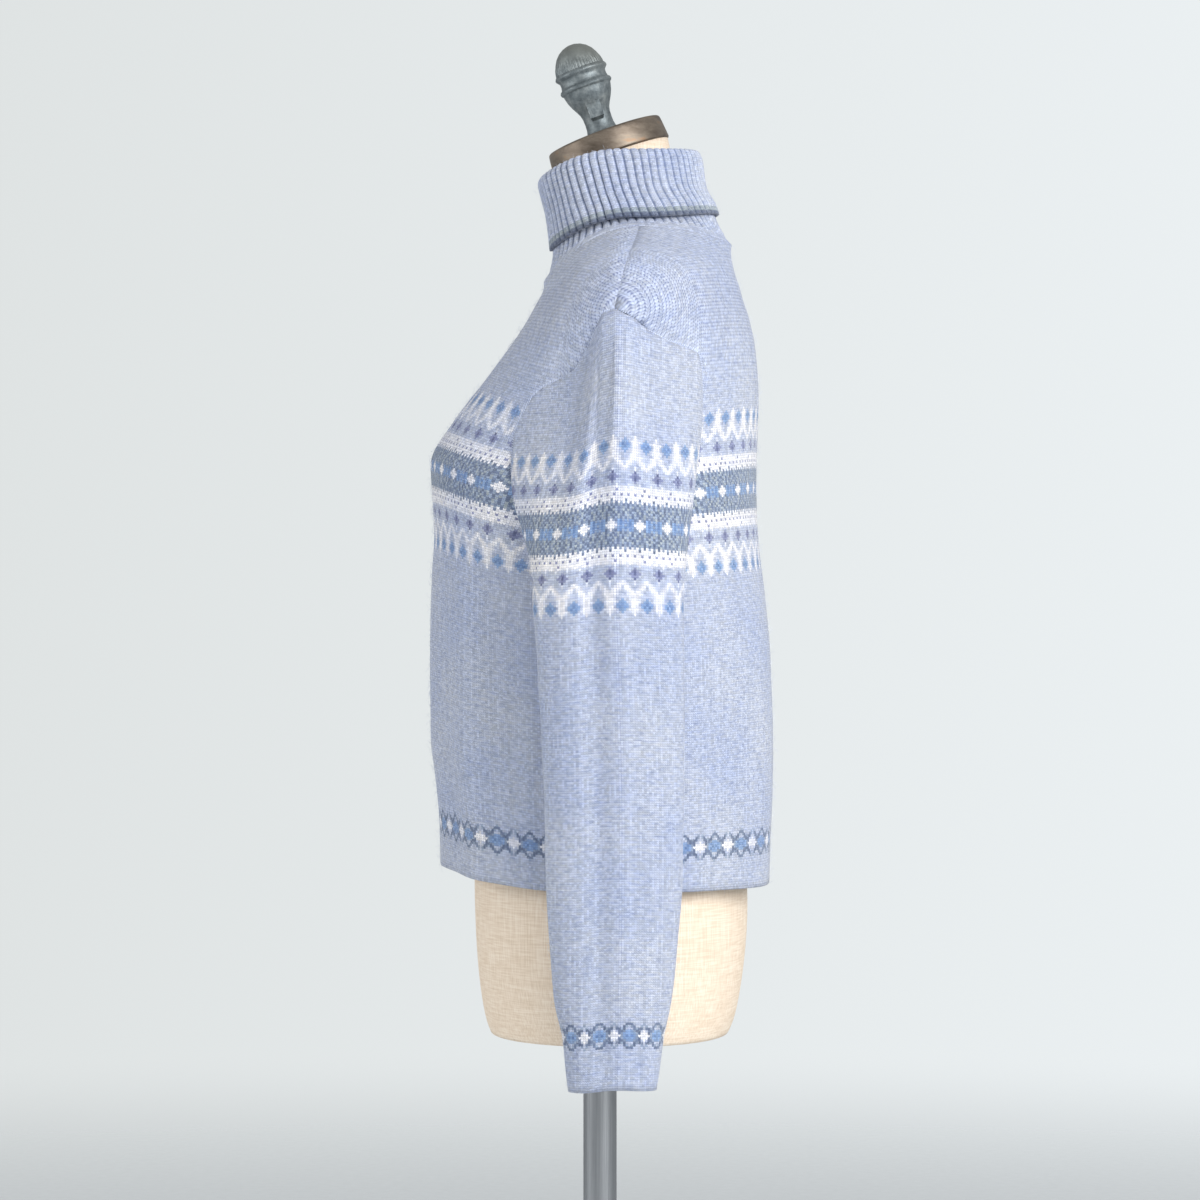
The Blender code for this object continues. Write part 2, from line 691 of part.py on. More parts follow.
def turned(name, profile, segments, place, finish):
    """A turned solid: place gives the centre, and the tilt in degrees, for each height."""
    points, starts = [], []
    for radius, height in profile:
        centre, tilt = place(height)
        lean = radians(tilt)
        starts.append(len(points))
        for i in range(segments if radius else 1):
            turn = 2 * pi * i / segments
            depth = radius * sin(turn)
            points.append(centre + Vector((radius * cos(turn), depth * cos(lean), depth * sin(lean))))
    faces = []
    for k in range(len(profile) - 1):
        low, high = starts[k], starts[k + 1]
        for i in range(segments):
            onward = (i + 1) % segments
            if not profile[k][0]:
                faces.append((low, high + i, high + onward))
            elif not profile[k + 1][0]:
                faces.append((low + i, low + onward, high))
            else:
                faces.append((low + i, low + onward, high + onward, high + i))
    add_object(name, points, faces, finish)


def leaning_axis(foot, tilt):
    """Centre and tilt at a height above the foot, along an axis that leans forward."""
    def place(height):
        return Vector(foot) + Vector((0, -sin(radians(tilt)), cos(radians(tilt)))) * height, tilt

    return place


def add_cap_and_finial():
    lean = radians(CAP_TILT)
    foot = (0, CAP_CENTRE_Y + CAP_THICKNESS * sin(lean), CAP_TOP - CAP_THICKNESS * cos(lean))
    turned("form_cap", CAP_PROFILE, 32, leaning_axis(foot, CAP_TILT), "bronzed_wood")
    seat = (0, CAP_CENTRE_Y - REST_GAP * sin(lean), CAP_TOP + REST_GAP * cos(lean))
    turned("form_finial", FINIAL_PROFILE, 16, leaning_axis(seat, CAP_TILT), "cast_pewter")


def add_stand():
    length = FORM_FLOOR - BASE_HEIGHT - 2 * REST_GAP
    profile = tuple((radius * POLE_RADIUS, height * length) for radius, height in POLE_PROFILE)
    foot = (0, 0, BASE_HEIGHT + REST_GAP)
    turned("stand_pole", profile, 20, leaning_axis(foot, 0.0), "steel")
    turned("stand_base", BASE_PROFILE, 40, leaning_axis((0, 0, 0), 0.0), "cast_iron")


clear_scene()
add_panels()
add_sleeves()
add_collar()
add_form()
add_cap_and_finial()
add_stand()
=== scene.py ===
import json
import math

import bmesh
import bpy
import numpy as np
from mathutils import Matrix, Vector

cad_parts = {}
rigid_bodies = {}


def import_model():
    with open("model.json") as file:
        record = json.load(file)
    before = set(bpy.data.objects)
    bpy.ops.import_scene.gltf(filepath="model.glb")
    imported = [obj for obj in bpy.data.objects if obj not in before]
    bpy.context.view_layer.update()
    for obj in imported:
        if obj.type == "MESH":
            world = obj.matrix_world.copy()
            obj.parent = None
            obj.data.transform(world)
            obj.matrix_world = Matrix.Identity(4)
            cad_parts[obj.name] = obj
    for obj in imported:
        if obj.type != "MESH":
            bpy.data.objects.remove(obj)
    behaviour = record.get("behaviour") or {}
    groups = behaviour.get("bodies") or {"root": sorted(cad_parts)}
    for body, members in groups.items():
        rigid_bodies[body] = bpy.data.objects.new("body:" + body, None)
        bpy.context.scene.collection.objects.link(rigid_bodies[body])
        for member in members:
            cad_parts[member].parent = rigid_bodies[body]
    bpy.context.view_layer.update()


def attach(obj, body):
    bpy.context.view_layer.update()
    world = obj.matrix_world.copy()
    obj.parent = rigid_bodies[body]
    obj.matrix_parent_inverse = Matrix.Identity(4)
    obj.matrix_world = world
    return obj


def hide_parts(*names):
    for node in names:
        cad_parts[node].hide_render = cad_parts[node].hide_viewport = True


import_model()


# Stand base: a round foot of cast iron, turned on its rim and sprayed with a dark grey stoving
# enamel. It carries the pole in a raised boss and lies flat on the floor.
def linear(code):
    """An sRGB hex colour as linear light."""
    parts = [int(code[i:i + 2], 16) / 255 for i in (1, 3, 5)]
    return tuple(c / 12.92 if c <= 0.04045 else ((c + 0.055) / 1.055) ** 2.4 for c in parts) + (1.0,)


def set_inputs(tree, node, settings=None, links=None):
    """A node's input values, and its links from other nodes' outputs."""
    for socket, value in (settings or {}).items():
        node.inputs[socket].default_value = value
    for socket, (source, output) in (links or {}).items():
        tree.links.new(source.outputs[output], node.inputs[socket])


def add_node(tree, kind, settings=None, links=None, stops=(), **fields):
    """A node with its fields, input values and links, and the stops of a colour ramp."""
    node = tree.nodes.new(kind)
    for field, value in fields.items():
        setattr(node, field, value)
    for i, (position, code) in enumerate(stops):
        if i == len(node.color_ramp.elements):
            node.color_ramp.elements.new(1.0)
        node.color_ramp.elements[i].position = position
        node.color_ramp.elements[i].color = linear(code)
    set_inputs(tree, node, settings, links)
    return node


def new_material(name):
    """An empty node material, its tree and its shader."""
    made = bpy.data.materials.new(name)
    made.use_nodes = True
    return made, made.node_tree, made.node_tree.nodes["Principled BSDF"]


def mesh_piece(name, points, faces, finish):
    """A mesh object at the origin with smooth shading and one material."""
    mesh = bpy.data.meshes.new(name)
    mesh.from_pydata([tuple(p) for p in points], [], faces)
    mesh.materials.append(finish)
    mesh.shade_smooth()
    made = bpy.data.objects.new(name, mesh)
    bpy.context.scene.collection.objects.link(made)
    return made


TURNED_EDGE = math.radians(38)


def turned(name, profile, segments, foot, lean, finish, cast=None):
    """A piece turned on a lathe: radius and height pairs about an axis that leans forward.

    On a casting, cast gives the radius at each turn and height.
    """
    points, starts = [], []
    for turned_radius, height in profile:
        starts.append(len(points))
        for i in range(segments if turned_radius else 1):
            turn = 2 * math.pi * i / segments
            radius = cast(turned_radius, turn, height) if cast else turned_radius
            depth = radius * math.sin(turn)
            points.append((
                foot[0] + radius * math.cos(turn),
                foot[1] + depth * math.cos(lean) - height * math.sin(lean),
                foot[2] + depth * math.sin(lean) + height * math.cos(lean),
            ))
    faces = []
    for k in range(len(profile) - 1):
        low, high = starts[k], starts[k + 1]
        for i in range(segments):
            onward = (i + 1) % segments
            if not profile[k][0]:
                faces.append((low, high + onward, high + i))
            elif not profile[k + 1][0]:
                faces.append((low + i, low + onward, high))
            else:
                faces.append((low + i, low + onward, high + onward, high + i))
    made = mesh_piece(name, points, faces, finish)
    made.data.set_sharp_from_angle(angle=TURNED_EDGE)
    return made


BASE_PROFILE = (
    (0.0, 0.0), (0.184, 0.0), (0.188, 0.0012), (0.190, 0.004), (0.1898, 0.0075), (0.187, 0.0105),
    (0.180, 0.0125), (0.150, 0.0148), (0.120, 0.0170), (0.090, 0.0190), (0.060, 0.0210), (0.045, 0.0228),
    (0.034, 0.0250), (0.029, 0.0275), (0.027, 0.0300), (0.0262, 0.0328), (0.024, 0.0340), (0.0, 0.0340),
)
# Stoving enamel on cast iron: a hard dark film that shows the casting's faint orange peel and a soft gloss
enamel, tree, shader = new_material("stoving_enamel")
place = add_node(tree, "ShaderNodeTexCoord")
peel = add_node(tree, "ShaderNodeTexNoise", {"Scale": 900.0, "Detail": 2.0}, {"Vector": (place, "Object")})
wear = add_node(tree, "ShaderNodeTexNoise", {"Scale": 28.0, "Detail": 5.0}, {"Vector": (place, "Object")})
tone = add_node(
    tree, "ShaderNodeValToRGB", links={0: (wear, "Fac")}, stops=((0.35, "#26282b"), (0.65, "#34373b"))
)
gloss = add_node(tree, "ShaderNodeMapRange", {"To Min": 0.34, "To Max": 0.52}, {"Value": (wear, "Fac")})
bump = add_node(tree, "ShaderNodeBump", {"Strength": 0.25, "Distance": 0.0002}, {"Height": (peel, "Fac")})
set_inputs(tree, shader, None, {
    "Base Color": (tone, "Color"), "Roughness": (gloss, "Result"), "Normal": (bump, "Normal"),
})
base = turned("stand_base_turned", BASE_PROFILE, 128, (0, 0, 0), 0.0, enamel)
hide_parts("stand_base")
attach(base, "root")


# Stand pole: a drawn steel tube, satin polished along its length, standing in the base's boss and
# running up into the form's floor.
POLE_RADIUS = 0.0145
POLE_FOOT = 0.0343
POLE_LENGTH = 0.5264
POLE_CHAMFER = 0.0006
# Satin drawn steel: fine scratches along the tube stretch its highlights, and it stays cool grey
satin_steel, tree, shader = new_material("satin_drawn_steel")
place = add_node(tree, "ShaderNodeTexCoord")
along = add_node(tree, "ShaderNodeMapping", {"Scale": (1800.0, 1800.0, 12.0)}, {"Vector": (place, "Object")})
scratch = add_node(tree, "ShaderNodeTexNoise", {"Scale": 1.0, "Detail": 3.0}, {"Vector": (along, "Vector")})
tone = add_node(
    tree, "ShaderNodeValToRGB", links={0: (scratch, "Fac")}, stops=((0.3, "#8b8d90"), (0.7, "#a3a6a9"))
)
gloss = add_node(tree, "ShaderNodeMapRange", {"To Min": 0.28, "To Max": 0.46}, {"Value": (scratch, "Fac")})
bump = add_node(tree, "ShaderNodeBump", {"Strength": 0.15, "Distance": 0.0001}, {"Height": (scratch, "Fac")})
set_inputs(tree, shader, {"Metallic": 1.0}, {
    "Base Color": (tone, "Color"), "Roughness": (gloss, "Result"), "Normal": (bump, "Normal"),
})
pole_profile = (
    (0.0, 0.0), (POLE_RADIUS - POLE_CHAMFER, 0.0), (POLE_RADIUS, POLE_CHAMFER),
    (POLE_RADIUS, POLE_LENGTH / 2), (POLE_RADIUS, POLE_LENGTH - POLE_CHAMFER),
    (POLE_RADIUS - POLE_CHAMFER, POLE_LENGTH), (0.0, POLE_LENGTH),
)
pole = turned("stand_pole_tube", pole_profile, 64, (0, 0, POLE_FOOT), 0.0, satin_steel)
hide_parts("stand_pole")
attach(pole, "root")


# Dress form: a limbless torso of padded linen over a hard shell, with a flat floor that the pole
# enters. The linen is stretched and sewn, and it shows only at the neck and under the hem.
CRISP_EDGE = math.radians(50)
# Unbleached linen: warp and weft threads of uneven thickness, drawn at twice their 0.6 mm spacing so
# that they show, in a warm pale tan with no gloss
linen, tree, shader = new_material("unbleached_linen")
place = add_node(tree, "ShaderNodeTexCoord")
threads = []
for stretch in ((830.0, 830.0, 40.0), (40.0, 40.0, 830.0)):
    run = add_node(tree, "ShaderNodeMapping", {"Scale": stretch}, {"Vector": (place, "Object")})
    threads.append(
        add_node(tree, "ShaderNodeTexNoise", {"Scale": 1.0, "Detail": 1.0}, {"Vector": (run, "Vector")})
    )
warp, weft = threads
weave = add_node(tree, "ShaderNodeMath", links={0: (warp, "Fac"), 1: (weft, "Fac")}, operation="ADD")
half_weave = add_node(tree, "ShaderNodeMath", {1: 0.5}, {0: (weave, 0)}, operation="MULTIPLY")
tone = add_node(
    tree, "ShaderNodeValToRGB", links={0: (half_weave, 0)},
    stops=((0.36, "#d9c5ae"), (0.50, "#e4d2bd"), (0.66, "#eddfcd")),
)
bump = add_node(tree, "ShaderNodeBump", {"Strength": 0.5, "Distance": 0.0003}, {"Height": (half_weave, 0)})
set_inputs(
    tree, shader, {"Roughness": 0.88, "Specular IOR Level": 0.25},
    {"Base Color": (tone, "Color"), "Normal": (bump, "Normal")},
)
shell = bmesh.new()
shell.from_mesh(bpy.data.objects["form_torso"].data)
bmesh.ops.remove_doubles(shell, verts=shell.verts, dist=1e-6)
bmesh.ops.join_triangles(
    shell, faces=shell.faces, angle_face_threshold=math.radians(40), angle_shape_threshold=math.radians(60)
)
crisp = shell.edges.layers.float.new("crease_edge")
for edge in shell.edges:
    if len(edge.link_faces) == 2 and edge.calc_face_angle() > CRISP_EDGE:
        edge[crisp] = 1.0
torso_mesh = bpy.data.meshes.new("form_torso_linen")
shell.to_mesh(torso_mesh)
shell.free()
torso_mesh.materials.clear()
torso_mesh.materials.append(linen)
torso = bpy.data.objects.new("form_torso_linen", torso_mesh)
bpy.context.scene.collection.objects.link(torso)
rounding = torso.modifiers.new("rounding", "SUBSURF")
rounding.levels = rounding.render_levels = 2
made = bpy.data.meshes.new_from_object(torso.evaluated_get(bpy.context.evaluated_depsgraph_get()))
torso.modifiers.clear()
torso.data = made
made.shade_smooth()
made.set_sharp_from_angle(angle=CRISP_EDGE)
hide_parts("form_torso")
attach(torso, "root")


# Neck cap: a thick disc of wood, turned, with a rounded upper rim and a worn bronze finish. It is
# screwed down on the leaning neck.
LEAN = math.radians(20.0)
CAP_TOP_Y = 0.0033
CAP_TOP_Z = 1.3392
CAP_THICKNESS = 0.021
CAP_PROFILE = (
    (0.0, 0.0), (0.0515, 0.0), (0.0524, 0.0004), (0.0530, 0.0015), (0.0528, 0.0040), (0.0523, 0.0100),
    (0.0517, 0.0160), (0.0512, 0.0192), (0.0508, 0.0202), (0.0500, 0.0208), (0.0490, 0.0210), (0.0, 0.0210),
)
# Bronzed wood: a thin metal paint rubbed through to orange brown, satin, with a long soft highlight
bronze, tree, shader = new_material("bronzed_wood")
place = add_node(tree, "ShaderNodeTexCoord")
rub_place = add_node(tree, "ShaderNodeMapping", {"Scale": (30.0, 30.0, 90.0)}, {"Vector": (place, "Object")})
rub = add_node(
    tree, "ShaderNodeTexNoise", {"Scale": 1.0, "Detail": 6.0, "Roughness": 0.7},
    {"Vector": (rub_place, "Vector")},
)
tone = add_node(
    tree, "ShaderNodeValToRGB", links={0: (rub, "Fac")},
    stops=((0.30, "#574d42"), (0.46, "#70655a"), (0.58, "#82776a"), (0.74, "#957050")),
)
gloss = add_node(tree, "ShaderNodeMapRange", {"To Min": 0.38, "To Max": 0.58}, {"Value": (rub, "Fac")})
bump = add_node(tree, "ShaderNodeBump", {"Strength": 0.2, "Distance": 0.0003}, {"Height": (rub, "Fac")})
set_inputs(tree, shader, {"Metallic": 0.75}, {
    "Base Color": (tone, "Color"), "Roughness": (gloss, "Result"), "Normal": (bump, "Normal"),
})
cap_foot = (0, CAP_TOP_Y + CAP_THICKNESS * math.sin(LEAN), CAP_TOP_Z - CAP_THICKNESS * math.cos(LEAN))
cap = turned("neck_cap_turned", CAP_PROFILE, 128, cap_foot, LEAN, bronze)
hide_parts("form_cap")
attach(cap, "root")


# Finial: one casting in grey pewter, with an egg-shaped head that is ribbed round its lower half, two
# collars, a bowl and a stem with a plain flat pad. It screws into the middle of the cap.
FINIAL_PROFILE = (
    (0.0162, 0.0), (0.016, 0.0012), (0.0148, 0.0026), (0.0132, 0.0048), (0.0124, 0.0085), (0.0122, 0.013),
    (0.0124, 0.0185), (0.0133, 0.0222), (0.015, 0.0258), (0.0176, 0.0305), (0.0198, 0.0355), (0.021, 0.04),
    (0.0216, 0.0425), (0.0229, 0.0436), (0.0234, 0.045), (0.0229, 0.0465), (0.0212, 0.048), (0.0206, 0.051),
    (0.0208, 0.054), (0.0222, 0.0556), (0.0234, 0.057), (0.0235, 0.0582), (0.0226, 0.0597), (0.0216, 0.0606),
    (0.0213, 0.063), (0.0205, 0.0665), (0.0189, 0.0708), (0.0164, 0.0752), (0.0128, 0.079), (0.0085, 0.0817),
    (0.004, 0.0832),
)
FINIAL_TOP = 0.0836
FINIAL_GAP = 0.0003
HEAD_RIBS = 46
HEAD_RIB_HEIGHT = 0.00032
PAD_REACH = 0.0152
PAD_HALF_ANGLE = 0.40


def finial_radius(radius, turn, height):
    """The head's ribs and the stem's flat pad, which faces the wearer's left."""
    ribs = math.exp(-(((height - 0.0640) / 0.0042) ** 4)) * (radius > 0.017)
    aside = (turn + math.pi) % (2 * math.pi) - math.pi
    if abs(aside) < PAD_HALF_ANGLE and 0.0150 < height < 0.0380:
        radius = max(radius, PAD_REACH / math.cos(aside))
    return radius + HEAD_RIB_HEIGHT * ribs * math.cos(HEAD_RIBS * turn)


# Cast pewter: dull blue-grey with darker tarnish in its pits, turning to a warmer, lighter grey towards the
# top of the head
pewter, tree, shader = new_material("cast_pewter")
place = add_node(tree, "ShaderNodeTexCoord")
tarnish = add_node(
    tree, "ShaderNodeTexNoise", {"Scale": 130.0, "Detail": 6.0, "Roughness": 0.7},
    {"Vector": (place, "Object")},
)
height = add_node(tree, "ShaderNodeSeparateXYZ", links={0: (place, "Object")})
warm_share = add_node(
    tree, "ShaderNodeMapRange", {"From Min": 1.392, "From Max": 1.415, "To Max": 0.8},
    {"Value": (height, "Z")},
)
tone = add_node(
    tree, "ShaderNodeValToRGB", links={0: (tarnish, "Fac")},
    stops=((0.30, "#4d5559"), (0.50, "#70787b"), (0.72, "#959b9b")),
)
warm = add_node(
    tree, "ShaderNodeMix", {7: linear("#858780")}, {0: (warm_share, 0), 6: (tone, "Color")}, data_type="RGBA"
)
pits = add_node(tree, "ShaderNodeTexNoise", {"Scale": 620.0, "Detail": 3.0}, {"Vector": (place, "Object")})
gloss = add_node(tree, "ShaderNodeMapRange", {"To Min": 0.40, "To Max": 0.62}, {"Value": (tarnish, "Fac")})
bump = add_node(tree, "ShaderNodeBump", {"Strength": 0.5, "Distance": 0.0004}, {"Height": (pits, "Fac")})
set_inputs(tree, shader, {"Metallic": 0.6}, {
    "Base Color": (warm, 2), "Roughness": (gloss, "Result"), "Normal": (bump, "Normal"),
})
finial_points = ((0.0, 0.0),) + FINIAL_PROFILE + ((0.0, FINIAL_TOP),)
steps = []
for (low_radius, low), (high_radius, high) in zip(finial_points, finial_points[1:]):
    steps += [(low_radius, low), ((low_radius + high_radius) / 2, (low + high) / 2)]
fine_profile = [finial_points[0]] + [step for step in steps if step[0] > 0.0035] + [finial_points[-1]]
finial_seat = (0, CAP_TOP_Y - FINIAL_GAP * math.sin(LEAN), CAP_TOP_Z + FINIAL_GAP * math.cos(LEAN))
finial = turned("finial_cast", fine_profile, 276, finial_seat, LEAN, pewter, finial_radius)
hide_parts("form_finial")
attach(finial, "root")


# Front and back: each knitted flat in one piece on a fine-gauge frame, in brushed wool, with the
# colour bands knitted in. They are seamed at the sides and along the shoulders.
WALE = 0.0021
COURSE = 0.00195
CLOTH = 0.0020
WALE_GROOVE = 0.00016
WOBBLE = 0.0009
SEAM_GAP = 0.0004
SEAM_SPREAD = 0.0022
HEM = 0.692
UNDERARM = 0.965
SHOULDER_TIP = 1.1756
NECK = 1.253
BAND_LEVEL = 1.020
BAND_HALF = 37
BORDER_COURSE = -150
BORDER_HALF = 8
BODY_WALES = 119
# A stitch's middle hangs this share of a course below its sides, and the yoke's courses stretch
STITCH_DIP = 0.45
STRETCHED_FROM = 1.12
YOKE_STRETCH = 1.5
# Rows of points stand this many courses apart where no colours change
PLAIN_PITCH = 3.4
SHOULDER_ROWS = 26

# Rings of the body: each follows one knitted row, which the bust and the back lift above the sides
BODY_COLUMNS = ("side_z", "front_z", "back_z", "half_width", "front_y", "side_y", "back_y", "roundness")
BODY_RINGS = (
    (0.6920, 0.7070, 0.6910, 0.1700, -0.1385, 0.004, 0.1470, 2.3),
    (0.7200, 0.7360, 0.7220, 0.1710, -0.1387, 0.004, 0.1480, 2.3),
    (0.7600, 0.7790, 0.7640, 0.1720, -0.1428, 0.004, 0.1495, 2.3),
    (0.8000, 0.8200, 0.8060, 0.1720, -0.1472, 0.004, 0.1500, 2.3),
    (0.8700, 0.8920, 0.8780, 0.1720, -0.1474, 0.003, 0.1485, 2.3),
    (0.9300, 0.9550, 0.9390, 0.1710, -0.1462, 0.002, 0.1430, 2.3),
    (0.9650, 0.9930, 0.9740, 0.1690, -0.1440, 0.000, 0.1385, 2.3),
    (1.0200, 1.0516, 1.0316, 0.1630, -0.1468, 0.000, 0.1360, 2.3),
    (1.0600, 1.0900, 1.0720, 0.1580, -0.1275, 0.000, 0.1368, 2.2),
    (1.1000, 1.1270, 1.1130, 0.1630, -0.0988, 0.003, 0.1376, 2.15),
    (1.1400, 1.1600, 1.1520, 0.1760, -0.0745, 0.008, 0.1350, 2.00),
    (1.1756, 1.1800, 1.1820, 0.1860, -0.0618, 0.012, 0.1293, 1.85),
    (1.1926, 1.1870, 1.1945, 0.1820, -0.0577, 0.016, 0.1250, 1.85),
    (1.2078, 1.1925, 1.2060, 0.1720, -0.0545, 0.020, 0.1217, 1.90),
    (1.2214, 1.1975, 1.2170, 0.1560, -0.0515, 0.024, 0.1178, 1.95),
    (1.2330, 1.2025, 1.2260, 0.1320, -0.0495, 0.028, 0.1155, 2.00),
    (1.2426, 1.2065, 1.2335, 0.1070, -0.0487, 0.031, 0.1142, 2.00),
    (1.2496, 1.2095, 1.2395, 0.0890, -0.0487, 0.0325, 0.1140, 2.00),
    (1.2530, 1.2115, 1.2430, 0.0800, -0.0487, 0.033, 0.1145, 2.00),
)
# Degrees that the armhole is cut back from the side line, on the front and on the back panel
ARMHOLE_COLUMNS = ("rise", "front", "back")
ARMHOLE = (
    (0.00, 0.0, 0.0), (0.04, 10.0, 10.0), (0.12, 18.0, 19.0), (0.25, 25.0, 26.0), (0.40, 31.0, 31.0),
    (0.52, 34.5, 34.5), (0.62, 34.0, 36.0), (0.68, 29.5, 36.8), (0.75, 17.5, 37.0), (0.82, 14.5, 36.0),
    (0.88, 12.5, 22.0), (0.94, 10.8, 12.0), (0.985, 9.0, 7.0), (1.00, 0.0, 0.0),
)
# Soft upright folds of the body: degrees from the front, ends above the floor, width and height
BODY_FOLDS = (
    (26.0, 0.60, 1.02, 10.0, -0.0040), (-24.0, 0.60, 1.01, 11.0, -0.0036), (58.0, 0.64, 0.99, 11.0, -0.0055),
    (-61.0, 0.66, 1.00, 10.0, -0.0050), (44.0, 0.60, 0.96, 8.0, 0.0022), (-42.0, 0.60, 0.94, 8.0, 0.0020),
    (132.0, 0.60, 1.04, 11.0, -0.0046), (-130.0, 0.60, 1.02, 12.0, -0.0042), (158.0, 0.60, 0.98, 9.0, 0.0024),
    (-164.0, 0.60, 0.96, 10.0, 0.0020), (88.0, 1.15, 1.26, 9.0, 0.0030), (-88.0, 1.15, 1.26, 9.0, 0.0030),
)


def smooth_curve(xs, ys):
    """A curve through the points that never overshoots them, for whole arrays at once."""
    xs, ys = np.array(xs, float), np.array(ys, float)
    steps = np.diff(ys) / np.diff(xs)
    before, after = steps[:-1], steps[1:]
    steady = before * after > 0
    inner = np.where(steady, 2 * before * after / np.where(steady, before + after, 1.0), 0.0)
    slopes = np.concatenate((steps[:1], inner, steps[-1:]))

    def value(x):
        x = np.clip(x, xs[0], xs[-1])
        i = np.clip(np.searchsorted(xs, x, side="right") - 1, 0, len(xs) - 2)
        width = xs[i + 1] - xs[i]
        t = (x - xs[i]) / width
        return (
            (1 + 2 * t) * (1 - t) ** 2 * ys[i] + t * (1 - t) ** 2 * width * slopes[i]
            + t * t * (3 - 2 * t) * ys[i + 1] + t * t * (t - 1) * width * slopes[i + 1]
        )

    return value


def curves(columns, rows, key=None):
    """One smooth curve for each named column, against the key column or the row number."""
    xs = [row[columns.index(key)] for row in rows] if key else range(len(rows))
    order = sorted(range(len(rows)), key=lambda i: xs[i])
    return {
        name: smooth_curve([xs[i] for i in order], [rows[i][c] for i in order])
        for c, name in enumerate(columns)
    }


BODY = curves(BODY_COLUMNS, BODY_RINGS, "side_z")
CUTS = curves(ARMHOLE_COLUMNS, ARMHOLE, "rise")


def ring_points(shape, angle, place):
    """Points on a ring of a shape's curves: 0 degrees is the front, 90 the wearer's left."""
    at = {name: curve(place) for name, curve in shape.items()}
    c, s = np.cos(np.radians(angle)), np.sin(np.radians(angle))
    power = 2 / at.get("roundness", 2.0)
    x = at["half_width"] * np.abs(s) ** power * np.sign(s)
    y = at["side_y"] + (np.where(c > 0, at["front_y"], at["back_y"]) - at["side_y"]) * np.abs(c) ** power
    rise = np.where(c > 0, at["front_z"], at["back_z"]) - at["side_z"]
    return np.stack((x, y, at["side_z"] + rise * c * c), -1)


def smooth_body(angle, level):
    """The body's outer face with no folds. The level is the row's height at the side."""
    return ring_points(BODY, angle, level)


def unit(vectors):
    """The vectors at a length of one."""
    return vectors / np.maximum(np.linalg.norm(vectors, axis=-1, keepdims=True), 1e-12)


def body_normal(angle, level):
    """The direction out of the body with no folds."""
    held = np.clip(level, HEM + 0.001, NECK - 0.001)
    across = smooth_body(angle + 0.5, held) - smooth_body(angle - 0.5, held)
    upwards = smooth_body(angle, held + 0.0008) - smooth_body(angle, held - 0.0008)
    return unit(np.cross(across, upwards))


def body(angle, level):
    """The body's outer face with its soft upright folds."""
    angle, level = np.broadcast_arrays(np.asarray(angle, float), np.asarray(level, float))
    base = smooth_body(angle, level)
    lift = np.zeros(angle.shape)
    for middle, bottom, top, width, height in BODY_FOLDS:
        aside = (angle - middle + 180) % 360 - 180
        along = np.maximum(0.0, 1 - ((base[..., 2] - (bottom + top) / 2) / ((top - bottom) / 2)) ** 2)
        lift = lift + height * np.exp(-(aside / width) ** 2) * along
    return base + body_normal(angle, level) * lift[..., None]


def armhole_cut(panel, level):
    """Degrees from the side line to the armhole's edge."""
    rise = (level - UNDERARM) / (SHOULDER_TIP - UNDERARM)
    return np.where((rise <= 0) | (rise >= 1), 0.0, CUTS[panel](rise))


# Stitches of the bands, one letter each. A row repeats across the cloth and starts at the middle wale.
# . ground, w white, l pale, b and B blue, s slate, g grey green, d dark slate, p and P purple grey
BAND = (
    "wwwbBbsbBbww", "wwsbBbBbBbsw", "wsdbBsbsBbds",
    "sdsgdsdsgds", "dsdgsdsgsdg", "sdgdsdgsds", "dgsdsgdgsd", "sdsdsgsdsgd", "dsdgsdsds",
    "swdwsw", "dwwwww", "wwwwww", "wpwwpw", "wwwwww", "wwpwwwwwwwww", "lwwlwwwlww",
    "..l....l..",
    "p.........", "Pp.......p", "Ppp.....pp", "pp.......p", "P.........",
    "l...lwl...", "l..lwwwl..", "..lww.wwl.", ".lwwl.lwwl", "lwwl...lww", "wwwl...lww", "wwl.....lw",
    "wwl..b..lw", "wwl.bbb.lw", "ww.bbBbb.w", "ww.bBbBb.w", "wwl.bbb.lw", "wl...b...l", "w.........",
)
HEM_BORDER = (
    "wwwwsbbBbBbbswww", "wwwdsbBbbbBbsdww", "w..dddsbbbsddd..", "..ddsdd...ddsdd.",
    ".sd...ds.sd...ds", ".s.....ddd.....s", "........s.......",
)
CUFF_BORDER = (
    "wwwsbBbBbsww", "wwdsbbbbbsdw", "w.ddsbbbsdd.", ".ddsd...dsdd", ".s..ds.sd..s", "s....ddd....",
)
YARNS = {
    ".": "#c8d2e0", "w": "#fbfcfb", "l": "#e4e9f0", "b": "#91aed2", "B": "#7695c0", "s": "#9dadc0",
    "g": "#afbbbf", "d": "#75849b", "p": "#9299b8", "P": "#6d7597",
}
YARN_COLOURS = {letter: np.array(linear(code)[:3]) for letter, code in YARNS.items()}


def stitch_colours(wale, course, border, border_course):
    """Linear colour of each stitch, and how much its yarn is flecked."""
    shades = np.empty((len(wale), 4))
    for i, (w, c) in enumerate(zip(wale.astype(int), course.astype(int))):
        line = "."
        if abs(c) < len(BAND):
            line = BAND[abs(c)]
        elif abs(c - border_course) < len(border):
            line = border[abs(c - border_course)]
        letter = line[w % len(line)]
        shades[i, :3] = YARN_COLOURS[letter]
        shades[i, 3] = 1.0 if letter == "." else 0.6
    return shades


def distances(points):
    """How far along a line each of its points is."""
    return np.concatenate(([0.0], np.cumsum(np.linalg.norm(np.diff(points, axis=0), axis=1))))


def points_at(wanted, places, points):
    """Points of a line at the wanted places, between the places of its own points."""
    return np.stack([np.interp(wanted, places, points[:, k]) for k in range(3)], -1)


